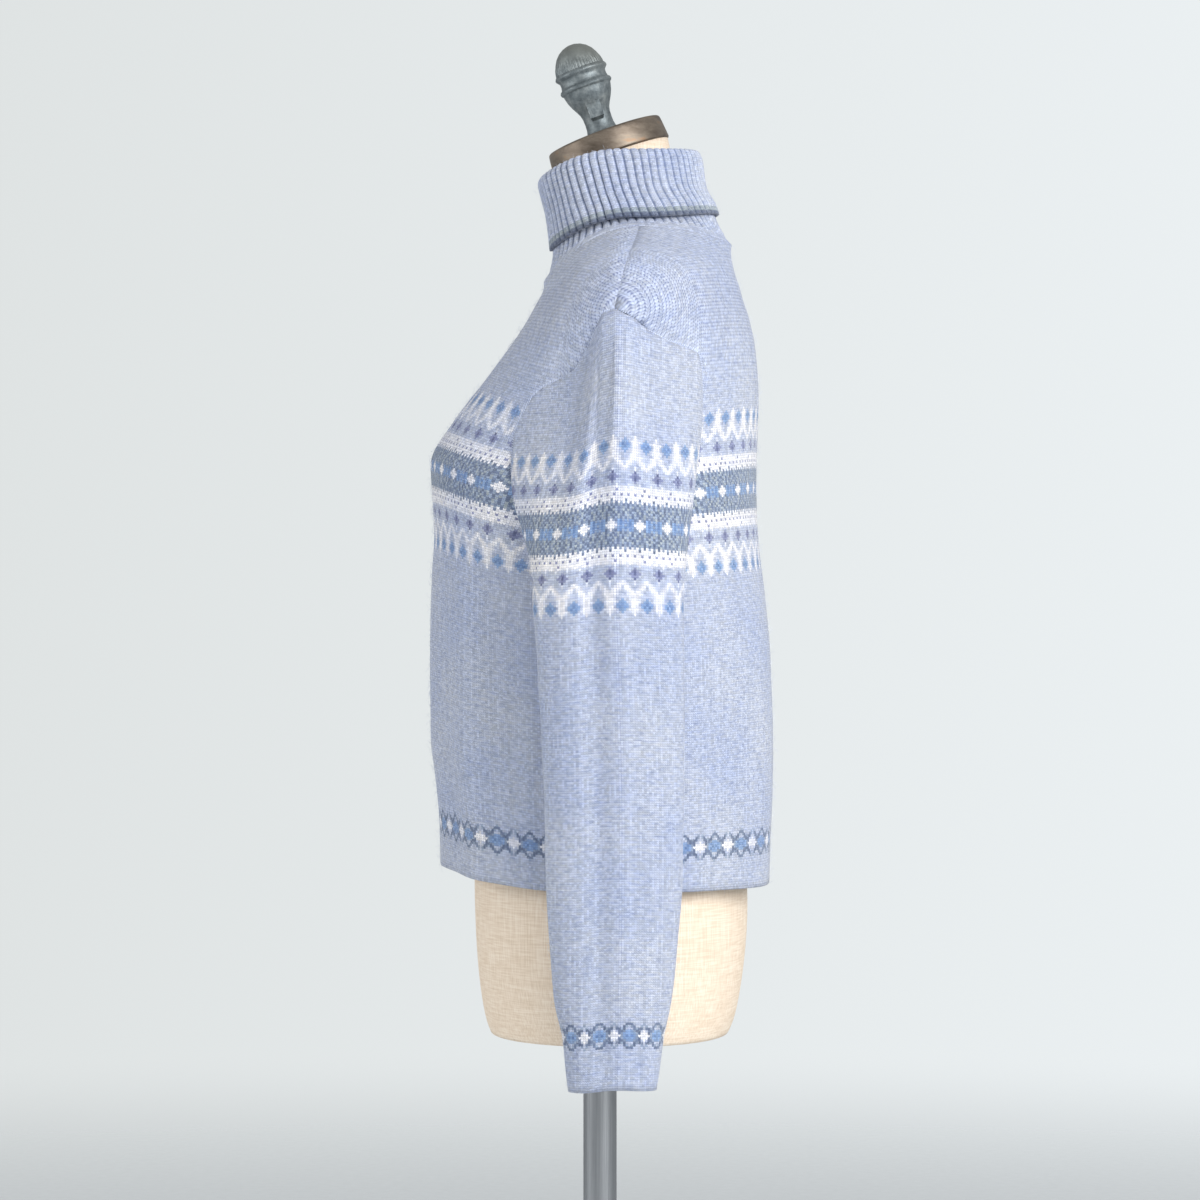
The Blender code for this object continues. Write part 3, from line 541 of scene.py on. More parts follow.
def strip_faces(low, low_at, high, high_at):
    """Faces between two rows of points. Points that stand level make four-sided faces."""
    faces, i, j = [], 0, 0
    while i < len(low) - 1 or j < len(high) - 1:
        next_low = low_at[i + 1] if i < len(low) - 1 else math.inf
        next_high = high_at[j + 1] if j < len(high) - 1 else math.inf
        if abs(next_low - next_high) < 1e-6:
            faces.append((low[i], low[i + 1], high[j + 1], high[j]))
            i, j = i + 1, j + 1
        elif next_low < next_high:
            faces.append((low[i], low[i + 1], high[j]))
            i += 1
        else:
            faces.append((low[i], high[j + 1], high[j]))
            j += 1
    return faces


def joined_rows(rows):
    """Faces of a sheet whose rows are lists of point numbers and of places across."""
    faces = []
    for (low, low_at), (high, high_at) in zip(rows, rows[1:]):
        faces += strip_faces(low, low_at, high, high_at)
    return faces


def vertex_normals(points, faces):
    """Smooth normals of a sheet, from its own faces."""
    corners = np.array([(f[0], f[1], f[2], f[-1]) for f in faces])
    a, b, c, d = (points[corners[:, k]] for k in range(4))
    normal = np.cross(c - a, d - b)
    flat = corners[:, 2] == corners[:, 3]
    normal[flat] = np.cross(b[flat] - a[flat], c[flat] - a[flat])
    total = np.zeros_like(points)
    for k in range(3):
        np.add.at(total, corners[:, k], normal)
    np.add.at(total, corners[~flat, 3], normal[~flat])
    return unit(total)


def face_corners(faces):
    """Each face's number of corners, the points of all the corners, and each face's first corner."""
    sizes = np.array([len(face) for face in faces])
    return sizes, np.concatenate([np.array(face) for face in faces]), np.cumsum(sizes) - sizes


def write_stitches(piece, places, shades, sizes, outside):
    """The corners' places in the knitting, each face's yarn, and the faces that may grow hairs."""
    layer = piece.data.uv_layers.new(name="stitches")
    layer.data.foreach_set("uv", places.astype(np.float32).ravel())
    colours = piece.data.color_attributes.new("stitch_colour", "FLOAT_COLOR", "CORNER")
    colours.data.foreach_set("color", np.repeat(shades, sizes, axis=0).astype(np.float32).ravel())
    seen = piece.data.attributes.new("outside", "FLOAT", "FACE")
    seen.data.foreach_set("value", outside.astype(np.float32))


def per_point(rows, key):
    """A value of each row for every point in it."""
    return np.concatenate([np.broadcast_to(row[key], row["wale"].shape) for row in rows])


def knit_piece(name, rows, finish, border, border_course, flip):
    """A thin closed wall from rows of points, each with its wale and its course.

    The outer face has two columns of points to a wale, so that grooves run between the wales. The
    inner face, which the form hides, has a few columns only.
    """
    points = np.concatenate([row["points"] for row in rows])
    wale, course = per_point(rows, "wale"), per_point(rows, "course")
    edge = np.concatenate([np.minimum(r["wale"] - r["wale"][0], r["wale"][-1] - r["wale"]) for r in rows])
    starts = np.cumsum([0] + [len(row["wale"]) for row in rows])
    numbered = [(list(range(starts[i], starts[i + 1])), list(row["wale"])) for i, row in enumerate(rows)]
    outer = joined_rows(numbered)
    if flip:
        outer = [face[::-1] for face in outer]
    normals = vertex_normals(points, outer)
    wobble = (
        0.35 * np.sin(points[:, 2] * 41 + points[:, 1] * 23) * np.sin(points[:, 1] * 37 - points[:, 0] * 19)
        + 0.2 * np.sin(points[:, 2] * 97 - points[:, 0] * 61) * np.sin(points[:, 1] * 83)
    )
    groove = np.where(np.abs(wale - np.round(wale)) < 0.01, WALE_GROOVE, 0.0)
    seam = per_point(rows, "sewn_down") * np.exp(-((edge * WALE / SEAM_SPREAD) ** 2))
    inner = points - normals * CLOTH
    points = points + normals * (wobble * WOBBLE - groove - seam)[:, None]
    kept_rows = [i for i in range(len(rows)) if i % 4 == 0 or i == len(rows) - 1]
    inner_points, inner_rows, count = [], [], len(points)
    for i in kept_rows:
        line, places = numbered[i]
        picks = [k for k in range(len(line)) if k in (0, len(line) - 1) or abs(places[k] / 4 % 1) < 0.01]
        inner_rows.append((list(range(count, count + len(picks))), [places[k] for k in picks]))
        inner_points += [inner[line[k]] for k in picks]
        count += len(picks)
    backing = [face[::-1] for face in joined_rows(inner_rows)]
    heights = [float(i) for i in range(len(rows))]
    inner_heights = [float(i) for i in kept_rows]
    left, right = [line[0] for line, _ in numbered], [line[-1] for line, _ in numbered]
    inner_left, inner_right = [line[0] for line, _ in inner_rows], [line[-1] for line, _ in inner_rows]
    rims = strip_faces(inner_rows[0][0], inner_rows[0][1], numbered[0][0], numbered[0][1])
    rims += strip_faces(numbered[-1][0], numbered[-1][1], inner_rows[-1][0], inner_rows[-1][1])
    rims += strip_faces(left, heights, inner_left, inner_heights)
    rims += strip_faces(inner_right, inner_heights, right, heights)
    rims = [face for face in rims if len(set(face)) > 2]
    if flip:
        backing, rims = [face[::-1] for face in backing], [face[::-1] for face in rims]
    faces = outer + backing + rims
    everywhere = np.concatenate((points, np.array(inner_points)))
    inner_wale = np.concatenate([np.array(line[1]) for line in inner_rows])
    inner_course = np.concatenate([
        np.interp(line[1], rows[i]["wale"], rows[i]["course"]) for i, line in zip(kept_rows, inner_rows)
    ])
    made = mesh_piece(name, everywhere, faces, finish)
    sizes, corners, first = face_corners(faces)
    places = np.stack((np.append(wale, inner_wale)[corners], np.append(course, inner_course)[corners]), -1)
    face_wale = np.add.reduceat(places[:, 0], first) / sizes
    face_course = np.add.reduceat(places[:, 1], first) / sizes
    shades = stitch_colours(
        np.floor(face_wale), np.floor(face_course + STITCH_DIP / 2), border, border_course
    )
    write_stitches(made, places, shades, sizes, np.arange(len(faces)) < len(outer))
    opened = np.append(per_point(rows, "opened"), np.zeros(len(inner_points)))
    spread = made.data.attributes.new("opened_wales", "FLOAT", "POINT")
    spread.data.foreach_set("value", opened.astype(np.float32))
    return made


# Brushed wool on a fine gauge: slanted stitches about 2 mm wide with dark gaps between their wales,
# yarn that differs a little from stitch to stitch, and a bloom of raised hairs at grazing angles
brushed_wool, tree, shader = new_material("brushed_wool_knit")
stitch = add_node(tree, "ShaderNodeUVMap", uv_map="stitches")
parts = add_node(tree, "ShaderNodeSeparateXYZ", links={0: (stitch, "UV")})
across = add_node(tree, "ShaderNodeMath", links={0: (parts, "X")}, operation="FRACT")
aside = add_node(tree, "ShaderNodeMath", {1: 0.5}, {0: (across, 0)}, operation="SUBTRACT")
reach = add_node(tree, "ShaderNodeMath", links={0: (aside, 0)}, operation="ABSOLUTE")
slant = add_node(tree, "ShaderNodeMath", {1: -0.9, 2: 0.45}, {0: (reach, 0)}, operation="MULTIPLY_ADD")
climb = add_node(tree, "ShaderNodeMath", links={0: (parts, "Y"), 1: (slant, 0)}, operation="ADD")
step = add_node(tree, "ShaderNodeMath", links={0: (climb, 0)}, operation="FRACT")
half_turn = add_node(tree, "ShaderNodeMath", {1: math.pi}, {0: (step, 0)}, operation="MULTIPLY")
strand = add_node(tree, "ShaderNodeMath", links={0: (half_turn, 0)}, operation="SINE")
leg_turn = add_node(tree, "ShaderNodeMath", {1: 2 * math.pi}, {0: (reach, 0)}, operation="MULTIPLY")
leg_wave = add_node(tree, "ShaderNodeMath", links={0: (leg_turn, 0)}, operation="SINE")
leg = add_node(tree, "ShaderNodeMath", {1: 0.6}, {0: (leg_wave, 0)}, operation="POWER", use_clamp=True)
loop = add_node(tree, "ShaderNodeMath", links={0: (strand, 0), 1: (leg, 0)}, operation="MULTIPLY")
# Mask of the painted shade in the gaps between wales: wider where the wales stand open, strongest between the
# courses
spread = add_node(tree, "ShaderNodeAttribute", attribute_name="opened_wales")
widened = add_node(
    tree, "ShaderNodeMath", {1: 0.14}, {0: (spread, "Fac"), 2: (reach, 0)}, operation="MULTIPLY_ADD"
)
gap = add_node(tree, "ShaderNodeMapRange", {"From Min": 0.36, "From Max": 0.50}, {"Value": (widened, 0)})
join = add_node(tree, "ShaderNodeMapRange", {"To Min": 1.0, "To Max": 0.15}, {"Value": (strand, 0)})
hollow = add_node(tree, "ShaderNodeMath", links={0: (gap, 0), 1: (join, 0)}, operation="MULTIPLY")
column = add_node(tree, "ShaderNodeMath", links={0: (parts, "X")}, operation="FLOOR")
number = add_node(tree, "ShaderNodeMath", links={0: (climb, 0)}, operation="FLOOR")
stitch_place = add_node(tree, "ShaderNodeCombineXYZ", links={0: (column, 0), 1: (number, 0)})
each = add_node(tree, "ShaderNodeTexWhiteNoise", links={"Vector": (stitch_place, 0)}, noise_dimensions="2D")
mix_place = add_node(tree, "ShaderNodeMapping", {"Scale": (0.24, 0.9, 1.0)}, {"Vector": (stitch, "UV")})
blend = add_node(
    tree, "ShaderNodeTexNoise", {"Scale": 1.0, "Detail": 3.0, "Roughness": 0.6},
    {"Vector": (mix_place, "Vector")},
)
yarn = add_node(tree, "ShaderNodeVertexColor", layer_name="stitch_colour")
heather = add_node(
    tree, "ShaderNodeValToRGB", links={0: (blend, "Fac")},
    stops=((0.32, "#d9dcec"), (0.50, "#faf9fd"), (0.68, "#fffaf5")),
)
melange = add_node(
    tree, "ShaderNodeMix", links={0: (yarn, "Alpha"), 6: (yarn, "Color"), 7: (heather, "Color")},
    data_type="RGBA", blend_type="MULTIPLY",
)
place = add_node(tree, "ShaderNodeTexCoord")
broad = add_node(tree, "ShaderNodeTexNoise", {"Scale": 14.0, "Detail": 3.0}, {"Vector": (place, "Object")})
wash = add_node(
    tree, "ShaderNodeValToRGB", links={0: (broad, "Fac")}, stops=((0.35, "#eef0fa"), (0.65, "#fffcfb"))
)
washed = add_node(
    tree, "ShaderNodeMix", {0: 1.0}, {6: (melange, 2), 7: (wash, "Color")},
    data_type="RGBA", blend_type="MULTIPLY",
)
depth = add_node(tree, "ShaderNodeMapRange", {"To Min": 0.60, "To Max": 0.82}, {"Value": (spread, "Fac")})
painted_gap_shade = add_node(tree, "ShaderNodeMath", links={0: (hollow, 0), 1: (depth, 0)}, operation="MULTIPLY")
# Painted shade and highlight on each stitch: its legs lighter at their middles, darker at their ends and
# sides
relief_shade = add_node(tree, "ShaderNodeMapRange", {"To Min": 0.74, "To Max": 1.06}, {"Value": (loop, 0)})
own_shade = add_node(
    tree, "ShaderNodeMapRange", {"To Min": 0.80, "To Max": 1.12}, {"Value": (each, "Value")}
)
wale_tone = add_node(tree, "ShaderNodeTexWhiteNoise", links={"W": (column, 0)}, noise_dimensions="1D")
wale_shade = add_node(
    tree, "ShaderNodeMapRange", {"To Min": 0.94, "To Max": 1.06}, {"Value": (wale_tone, "Value")}
)
loop_shade = add_node(
    tree, "ShaderNodeMath", links={0: (relief_shade, 0), 1: (own_shade, 0)}, operation="MULTIPLY"
)
stitch_shade = add_node(
    tree, "ShaderNodeMath", links={0: (loop_shade, 0), 1: (wale_shade, 0)}, operation="MULTIPLY"
)
lit = add_node(
    tree, "ShaderNodeVectorMath", links={0: (washed, 2), "Scale": (stitch_shade, 0)}, operation="SCALE"
)
# Painted shade: the gap between two wales is mixed towards a dark shaded blue, deeper where the wales stand
# open
shaded = add_node(
    tree, "ShaderNodeMix", {7: linear("#5d6690")}, {0: (painted_gap_shade, 0), 6: (lit, 0)}, data_type="RGBA"
)
hair = add_node(tree, "ShaderNodeTexNoise", {"Scale": 5.0, "Detail": 3.0}, {"Vector": (stitch, "UV")})
relief = add_node(tree, "ShaderNodeMath", {1: 0.45}, {0: (hair, 0), 2: (loop, 0)}, operation="MULTIPLY_ADD")
bump = add_node(tree, "ShaderNodeBump", {"Strength": 0.7, "Distance": 0.0004}, {"Height": (relief, 0)})
set_inputs(
    tree, shader,
    {"Roughness": 0.92, "Sheen Weight": 0.25, "Sheen Roughness": 0.5, "Specular IOR Level": 0.2},
    {"Base Color": (shaded, 2), "Normal": (bump, "Normal")},
)


def wale_scale(panel, level, angles):
    """The wale at each angle of a row: even round the body low down, upright on the chest."""
    here = smooth_body(angles if panel == "front" else 180 - angles, np.full(angles.shape, level))
    along = distances(here[:, :2])
    return BODY_WALES * along / along[-1], here[:, 0]


QUARTER = np.linspace(0.0, 90.0, 361)
# Upright wales keep the places across that they have at this level. Past this step of QUARTER they
# go on at their full width, as far as FAR_X.
UPRIGHT_LEVEL = 0.985
UPRIGHT_STEP = 200
FAR_X = 0.3
UPRIGHT = {}
for panel in ("front", "back"):
    even, x = wale_scale(panel, UPRIGHT_LEVEL, QUARTER)
    even, x = even[:UPRIGHT_STEP + 1], x[:UPRIGHT_STEP + 1]
    UPRIGHT[panel] = (np.append(x, FAR_X), np.append(even, even[-1] + (FAR_X - x[-1]) / WALE))


def row_table(panel, level):
    """The wale at each angle of the quarter, for one row."""
    even, x = wale_scale(panel, level, QUARTER)
    upright = np.interp(x, *UPRIGHT[panel])
    share = np.clip((level - 0.93) / 0.10, 0, 1)
    share = share * share * (3 - 2 * share)
    return np.maximum.accumulate(even * (1 - share) + upright * share) + np.arange(len(even)) * 1e-6


def row_courses(stops):
    """The courses of a piece's rows: each one in the border and the band, and few in between."""
    courses = []
    for k, (low, high) in enumerate(zip(stops, stops[1:])):
        steps = max(1, round((high - low) / (1.0 if k in (1, 3) else PLAIN_PITCH)))
        courses += [low + (high - low) * i / steps for i in range(steps)]
    return courses


def panel_rows(panel):
    """Rows of the panel, from the hem to the neck."""
    stops = [(HEM - BAND_LEVEL) / COURSE, BORDER_COURSE - BORDER_HALF, BORDER_COURSE + BORDER_HALF + 1]
    stops += [-BAND_HALF, BAND_HALF + 1, (SHOULDER_TIP - BAND_LEVEL) / COURSE]
    courses = row_courses(stops) + [(UNDERARM - BAND_LEVEL) / COURSE]
    levels = [BAND_LEVEL + course * COURSE for course in sorted(courses)]
    levels += [SHOULDER_TIP - 0.0022, SHOULDER_TIP - 0.0009]
    levels += [
        SHOULDER_TIP + (NECK - SHOULDER_TIP) * (1 - (1 - i / SHOULDER_ROWS) ** 1.5)
        for i in range(SHOULDER_ROWS + 1)
    ]
    rows = []
    for level in sorted(levels):
        table = row_table(panel, level)
        gap = SEAM_GAP / 2 / float(BODY["half_width"](level)) * 180 / math.pi
        gap = gap * (0.2 if level > SHOULDER_TIP else 1.0)
        end_angle = 90 - max(float(armhole_cut(panel, level)), gap)
        end = float(np.interp(end_angle, QUARTER, table))
        count = int((end - 0.2) * 2)
        side = np.arange(count + 1) / 2
        wale = np.concatenate((-side[:0:-1], side))
        wale = np.concatenate(([-end], wale, [end]))
        course = (level - BAND_LEVEL) / COURSE
        charted = abs(course) <= BAND_HALF + 1 or abs(course - BORDER_COURSE) <= BORDER_HALF + 1
        middle = (np.abs(wale % 1 - 0.5) < 0.01) & charted
        drop = np.where(middle, STITCH_DIP, 0.0)
        low_table = row_table(panel, level - STITCH_DIP * COURSE)
        turn = np.interp(np.abs(wale), table, QUARTER)
        turn = np.where(middle, np.interp(np.abs(wale), low_table, QUARTER), turn) * np.sign(wale)
        angle = turn if panel == "front" else 180 + turn
        points = body(angle, level - drop * COURSE)
        course = course - drop
        if level > STRETCHED_FROM:
            below = rows[-1]
            step = np.linalg.norm(points - points_at(wale, below["wale"], below["points"]), axis=1)
            course = np.interp(wale, below["wale"], below["course"]) + step / COURSE / YOKE_STRETCH
        # The weight hangs from the yoke, so its wales stand open, but not close to the collar
        opened = np.clip((points[:, 2] - 1.13) / 0.05, 0.25, 1.0)
        opened = opened * np.clip(1.5 - (level - 1.19) / 0.03, 0.4, 1.0)
        sewn_down = 0.0001 if level > SHOULDER_TIP - 0.014 else 0.00045
        rows.append(
            {"wale": wale, "points": points, "course": course, "opened": opened, "sewn_down": sewn_down}
        )
    return rows


front = knit_piece("front_panel", panel_rows("front"), brushed_wool, HEM_BORDER, BORDER_COURSE, False)
back = knit_piece("back_panel", panel_rows("back"), brushed_wool, HEM_BORDER, BORDER_COURSE, False)
for piece, node, area in ((front, "front", 0.262), (back, "back", 0.272)):
    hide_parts(node)
    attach(piece, "root")


# Sleeves: set in, each knitted flat in the same wool with its own band and cuff border, and sewn
# along the underside. The right one mirrors the left.
SLEEVE_COLUMNS = ("z", "front_y", "back_y", "inner_x", "outer_x", "fold")
SLEEVE_RINGS = (
    (0.9300, -0.0551, 0.0690, 0.1765, 0.2500, 0.0052),
    (0.8530, -0.0497, 0.0690, 0.1768, 0.2430, 0.0036),
    (0.7710, -0.0460, 0.0690, 0.1768, 0.2365, 0.0030),
    (0.7050, -0.0444, 0.0674, 0.1766, 0.2330, 0.0028),
    (0.6560, -0.0415, 0.0641, 0.1764, 0.2310, 0.0026),
    (0.6060, -0.0380, 0.0592, 0.1766, 0.2290, 0.0022),
    (0.5730, -0.0308, 0.0519, 0.1775, 0.2270, 0.0016),
    (0.5410, -0.0275, 0.0477, 0.1785, 0.2255, 0.0010),
    (0.5315, -0.0262, 0.0462, 0.1795, 0.2245, 0.0008),
)
SLEEVE = curves(SLEEVE_COLUMNS, SLEEVE_RINGS, "z")
SLEEVE_TOP = 0.9300
CUFF = 0.5315
SLEEVE_ROUNDNESS = 2.15
SLEEVE_FOLD_TOP = 0.0085
SLEEVE_DROP = 1.8
SLEEVE_BAND_Z = 0.9878
CUFF_BORDER_COURSE = -211
ARMHOLE_PARTS = 12


def armhole_places(turn):
    """The left armhole's edge, from the shoulder's tip by the front to the underarm and back up."""
    turn = np.asarray(turn, float)
    level = UNDERARM + (SHOULDER_TIP - UNDERARM) * (1 + np.cos(np.pi * turn / ARMHOLE_PARTS)) / 2
    front_angle = 90 - armhole_cut("front", level)
    back_angle = 90 + armhole_cut("back", level)
    angle = np.where(turn <= ARMHOLE_PARTS, front_angle, back_angle)
    return body(angle, level), angle, level


coarse = armhole_places(np.arange(2 * ARMHOLE_PARTS))[0]
lengths = np.linalg.norm(np.roll(coarse, -1, axis=0) - coarse, axis=1)
by_length = np.concatenate([
    start + 180 * (np.cumsum(part) - part) / part.sum()
    for start, part in ((0, lengths[:ARMHOLE_PARTS]), (180, lengths[ARMHOLE_PARTS:]))
])
coarse_angles = (by_length + 360 * np.arange(2 * ARMHOLE_PARTS) / (2 * ARMHOLE_PARTS)) / 2
angle_of_turn = smooth_curve(np.arange(2 * ARMHOLE_PARTS + 1), np.append(coarse_angles, 360.0))

# Fine columns of the left sleeve, from the underside by the front and the outside to the underside
COLUMN_COUNT = 721
column_turn = np.linspace(3 * ARMHOLE_PARTS, ARMHOLE_PARTS, COLUMN_COUNT) % (2 * ARMHOLE_PARTS)
column_turn[0], column_turn[-1] = ARMHOLE_PARTS, ARMHOLE_PARTS
column_angle = angle_of_turn(column_turn)
edge_place, edge_angle, edge_level = armhole_places(column_turn)
before, after = (armhole_places((column_turn + step) % (2 * ARMHOLE_PARTS))[0] for step in (-0.05, 0.05))
along = unit(after - before)
rise = (edge_level - UNDERARM) / (SHOULDER_TIP - UNDERARM)
slope = -SLEEVE_DROP * np.minimum(1, rise * 2.2)
onward = unit(np.stack((np.ones(COLUMN_COUNT), np.zeros(COLUMN_COUNT), slope), -1))
sleeve_normal = unit(np.cross(along, onward))
outwards = np.sign(np.sum(sleeve_normal * (edge_place - edge_place.mean(axis=0)), axis=1))
sleeve_normal *= outwards[:, None]
mitre = unit(body_normal(edge_angle, edge_level) + sleeve_normal)
across_seam = unit(np.cross(mitre, along))
across_seam *= np.sign(np.sum(across_seam * onward, axis=1))[:, None]


def sleeve_fold(angle, depth):
    """The long fold down the sleeve's outside: a raised crease with a trough in front of it."""
    aside = (angle + 180) % 360 - 180
    crease = 0.55 * np.exp(-((aside + 4.0) / 9.0) ** 2)
    trough = np.exp(-((aside - 13.0) / 9.0) ** 2)
    return depth * (crease - trough)


def sleeve_ring(angle, z):
    """Points on a level section of the left sleeve: 0 degrees is its outside."""
    at = {name: curve(z) for name, curve in SLEEVE.items()}
    c, s = np.cos(np.radians(angle)), np.sin(np.radians(angle))
    power = 2 / SLEEVE_ROUNDNESS
    x = (at["inner_x"] + at["outer_x"]) / 2
    x = x + (at["outer_x"] - at["inner_x"]) / 2 * np.abs(c) ** power * np.sign(c)
    y = (at["front_y"] + at["back_y"]) / 2
    y = y - (at["back_y"] - at["front_y"]) / 2 * np.abs(s) ** power * np.sign(s)
    return np.stack((x, y, np.broadcast_to(z, x.shape)), -1)


UPPER_STEPS, LOWER_STEPS = 90, 160
start = edge_place + across_seam * SEAM_GAP / 2
end = sleeve_ring(column_angle, np.full(COLUMN_COUNT, SLEEVE_TOP))
span = np.linalg.norm(end - start, axis=1)[:, None]
paths = []
for i in range(UPPER_STEPS):
    t = i / UPPER_STEPS
    place = (
        start * (1 + 2 * t) * (1 - t) ** 2 + onward * span * 1.15 * t * (1 - t) ** 2
        + end * t * t * (3 - 2 * t) + np.array((0, 0, -1.0)) * span * t * t * (t - 1)
    )
    depth = SLEEVE_FOLD_TOP + (SLEEVE_RINGS[0][-1] - SLEEVE_FOLD_TOP) * t
    place[:, 0] += sleeve_fold(column_angle, depth) * min(1.0, t * 4)
    paths.append(place)
for z in np.linspace(SLEEVE_TOP, CUFF, LOWER_STEPS + 1):
    place = sleeve_ring(column_angle, np.full(COLUMN_COUNT, z))
    place[:, 0] += sleeve_fold(column_angle, SLEEVE["fold"](z))
    paths.append(place)
paths = np.stack(paths, 1)

# Courses climb a little towards the sleeve's crease, more so higher up
from_crease = (column_angle + 180) % 360 - 180
front_share = np.exp(-((from_crease + 4) / 28.0) ** 2)
back_share = 0.5 + 0.5 * np.exp(-((from_crease + 4) / 34.0) ** 2)
climb_share = np.where(from_crease > -4, front_share, back_share)[:, None]
climb = 0.003 + 0.009 * np.clip((paths[..., 2] - 0.92) / 0.146, 0, 1.6)
column_course = (paths[..., 2] - climb * climb_share - SLEEVE_BAND_Z) / COURSE
column_course = np.minimum.accumulate(column_course, axis=1) - np.arange(paths.shape[1]) * 1e-7


def sleeve_line(course):
    """The sleeve's points at one course, from the underside by the front round to the underside."""
    where = [float(column) for column in range(COLUMN_COUNT) if course <= column_course[column, 0]]
    line = [
        points_at(course, column_course[int(column), ::-1], paths[int(column), ::-1]) for column in where
    ]
    first, last = int(where[0]), int(where[-1])
    for inside, outside, end in ((first, first - 1, 0), (last, last + 1, len(line) + 1)):
        if 0 <= outside < COLUMN_COUNT:
            low, high = column_course[outside, 0], column_course[inside, 0]
            share = (course - low) / (high - low)
            line.insert(end, paths[outside, 0] * (1 - share) + paths[inside, 0] * share)
            where.insert(end, (inside + outside) / 2)
    along = distances(np.array(line))
    along = (along - np.interp(COLUMN_COUNT // 2, where, along)) / WALE
    crease = np.exp(-((np.interp(where, np.arange(COLUMN_COUNT), from_crease) + 5) / 2.2) ** 2)
    return np.array(line), along, crease


def sleeve_rows():
    """Rows of the left sleeve, from the cuff to the shoulder's tip."""
    bottom = (CUFF - SLEEVE_BAND_Z) / COURSE
    stops = [float(column_course[:, -1].max()), CUFF_BORDER_COURSE - 9, CUFF_BORDER_COURSE + 10]
    stops += [-BAND_HALF, BAND_HALF + 1, float(column_course[:, 0].max()) - 0.4]
    rows = []
    for course in sorted(row_courses(stops) + [float(column_course[0, 0]), stops[-1]]):
        line, at, crease = sleeve_line(course)
        low_line, low_at, _ = sleeve_line(max(course - STITCH_DIP, bottom - 2))
        charted = abs(course) <= BAND_HALF + 1 or abs(course - CUFF_BORDER_COURSE) <= 10
        side = np.arange(math.ceil((at[0] + 0.2) * 2), math.floor((at[-1] - 0.2) * 2) + 1) / 2
        wale = np.concatenate(([at[0]], side, [at[-1]]))
        middle = (np.abs(wale % 1 - 0.5) < 0.01) & charted
        points = np.where(
            middle[:, None], points_at(wale, low_at, low_line), points_at(wale, at, line)
        )
        rows.append({
            "wale": wale, "points": points, "course": course - np.where(middle, STITCH_DIP, 0.0),
            "opened": 0.3 + 0.8 * np.interp(wale, at, crease), "sewn_down": 0.0004,
        })
    return rows


left_rows = sleeve_rows()
right_rows = [{**row, "points": row["points"] * np.array((-1.0, 1.0, 1.0))} for row in left_rows]
for node, rows, flip in (("sleeve_left", left_rows, False), ("sleeve_right", right_rows, True)):
    sleeve = knit_piece(node + "_knit", rows, brushed_wool, CUFF_BORDER, CUFF_BORDER_COURSE, flip)
    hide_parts(node)
    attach(sleeve, "root")


# Collar: one tube of deep rib in the same wool, seamed to the neck, stood up and folded over on
# itself. A few rows of dark slate yarn close its folded-down edge.
RIB_COUNT = 60
COLLAR_COLUMNS = ("front_z", "side_z", "back_z", "half_width", "front_y", "side_y", "back_y")
COLLAR_PATH = (
    (1.2115, 1.2530, 1.2430, 0.0789, -0.0476, 0.033, 0.1134),
    (1.2240, 1.2590, 1.2540, 0.0705, -0.0402, 0.031, 0.1040),
    (1.2400, 1.2665, 1.2700, 0.0660, -0.0383, 0.027, 0.0965),
    (1.2800, 1.2990, 1.3040, 0.0635, -0.0440, 0.021, 0.0850),
    (1.2960, 1.3140, 1.3180, 0.0630, -0.0463, 0.019, 0.0815),
    (1.3013, 1.3193, 1.3233, 0.0655, -0.0490, 0.0185, 0.0840),
    (1.2960, 1.3140, 1.3180, 0.0680, -0.0515, 0.018, 0.0865),
    (1.2680, 1.2880, 1.2930, 0.0705, -0.0447, 0.022, 0.0903),
    (1.2500, 1.2715, 1.2780, 0.0740, -0.0423, 0.027, 0.0985),
    (1.2390, 1.2615, 1.2695, 0.0780, -0.0413, 0.029, 0.1013),
)
COLLAR = curves(COLLAR_COLUMNS, COLLAR_PATH)
LAST_PLACE = len(COLLAR_PATH) - 1.0
SLATE_FROM = 8.70
GREY_FROM = 8.28
FOLD_TWIST = 5.0
HALF_RIB_CLOTH = 0.0011
RIB_HEIGHT = 0.0026
RIB_SINK = 0.0010


def collar_point(angle, path, side, lift):
    """Points on the collar's cloth: side 1 is the face that shows on the fold."""
    if path == 0:
        level = np.full(angle.shape, NECK)
        upward = unit(body(angle, level) - body(angle, level - 0.002))
        inward = body_normal(angle, level) * (-2 * HALF_RIB_CLOTH if side > 0 else 0.0)
        return body(angle, level) + upward * SEAM_GAP + inward
    held = np.full(angle.shape, min(max(path, 0.02), LAST_PLACE - 0.02))
    across = ring_points(COLLAR, angle + 0.5, held) - ring_points(COLLAR, angle - 0.5, held)
    upwards = ring_points(COLLAR, angle, held + 0.02) - ring_points(COLLAR, angle, held - 0.02)
    outward = -unit(np.cross(across, upwards)) * side * (HALF_RIB_CLOTH + lift)[:, None]
    return ring_points(COLLAR, angle, np.full(angle.shape, path)) + outward


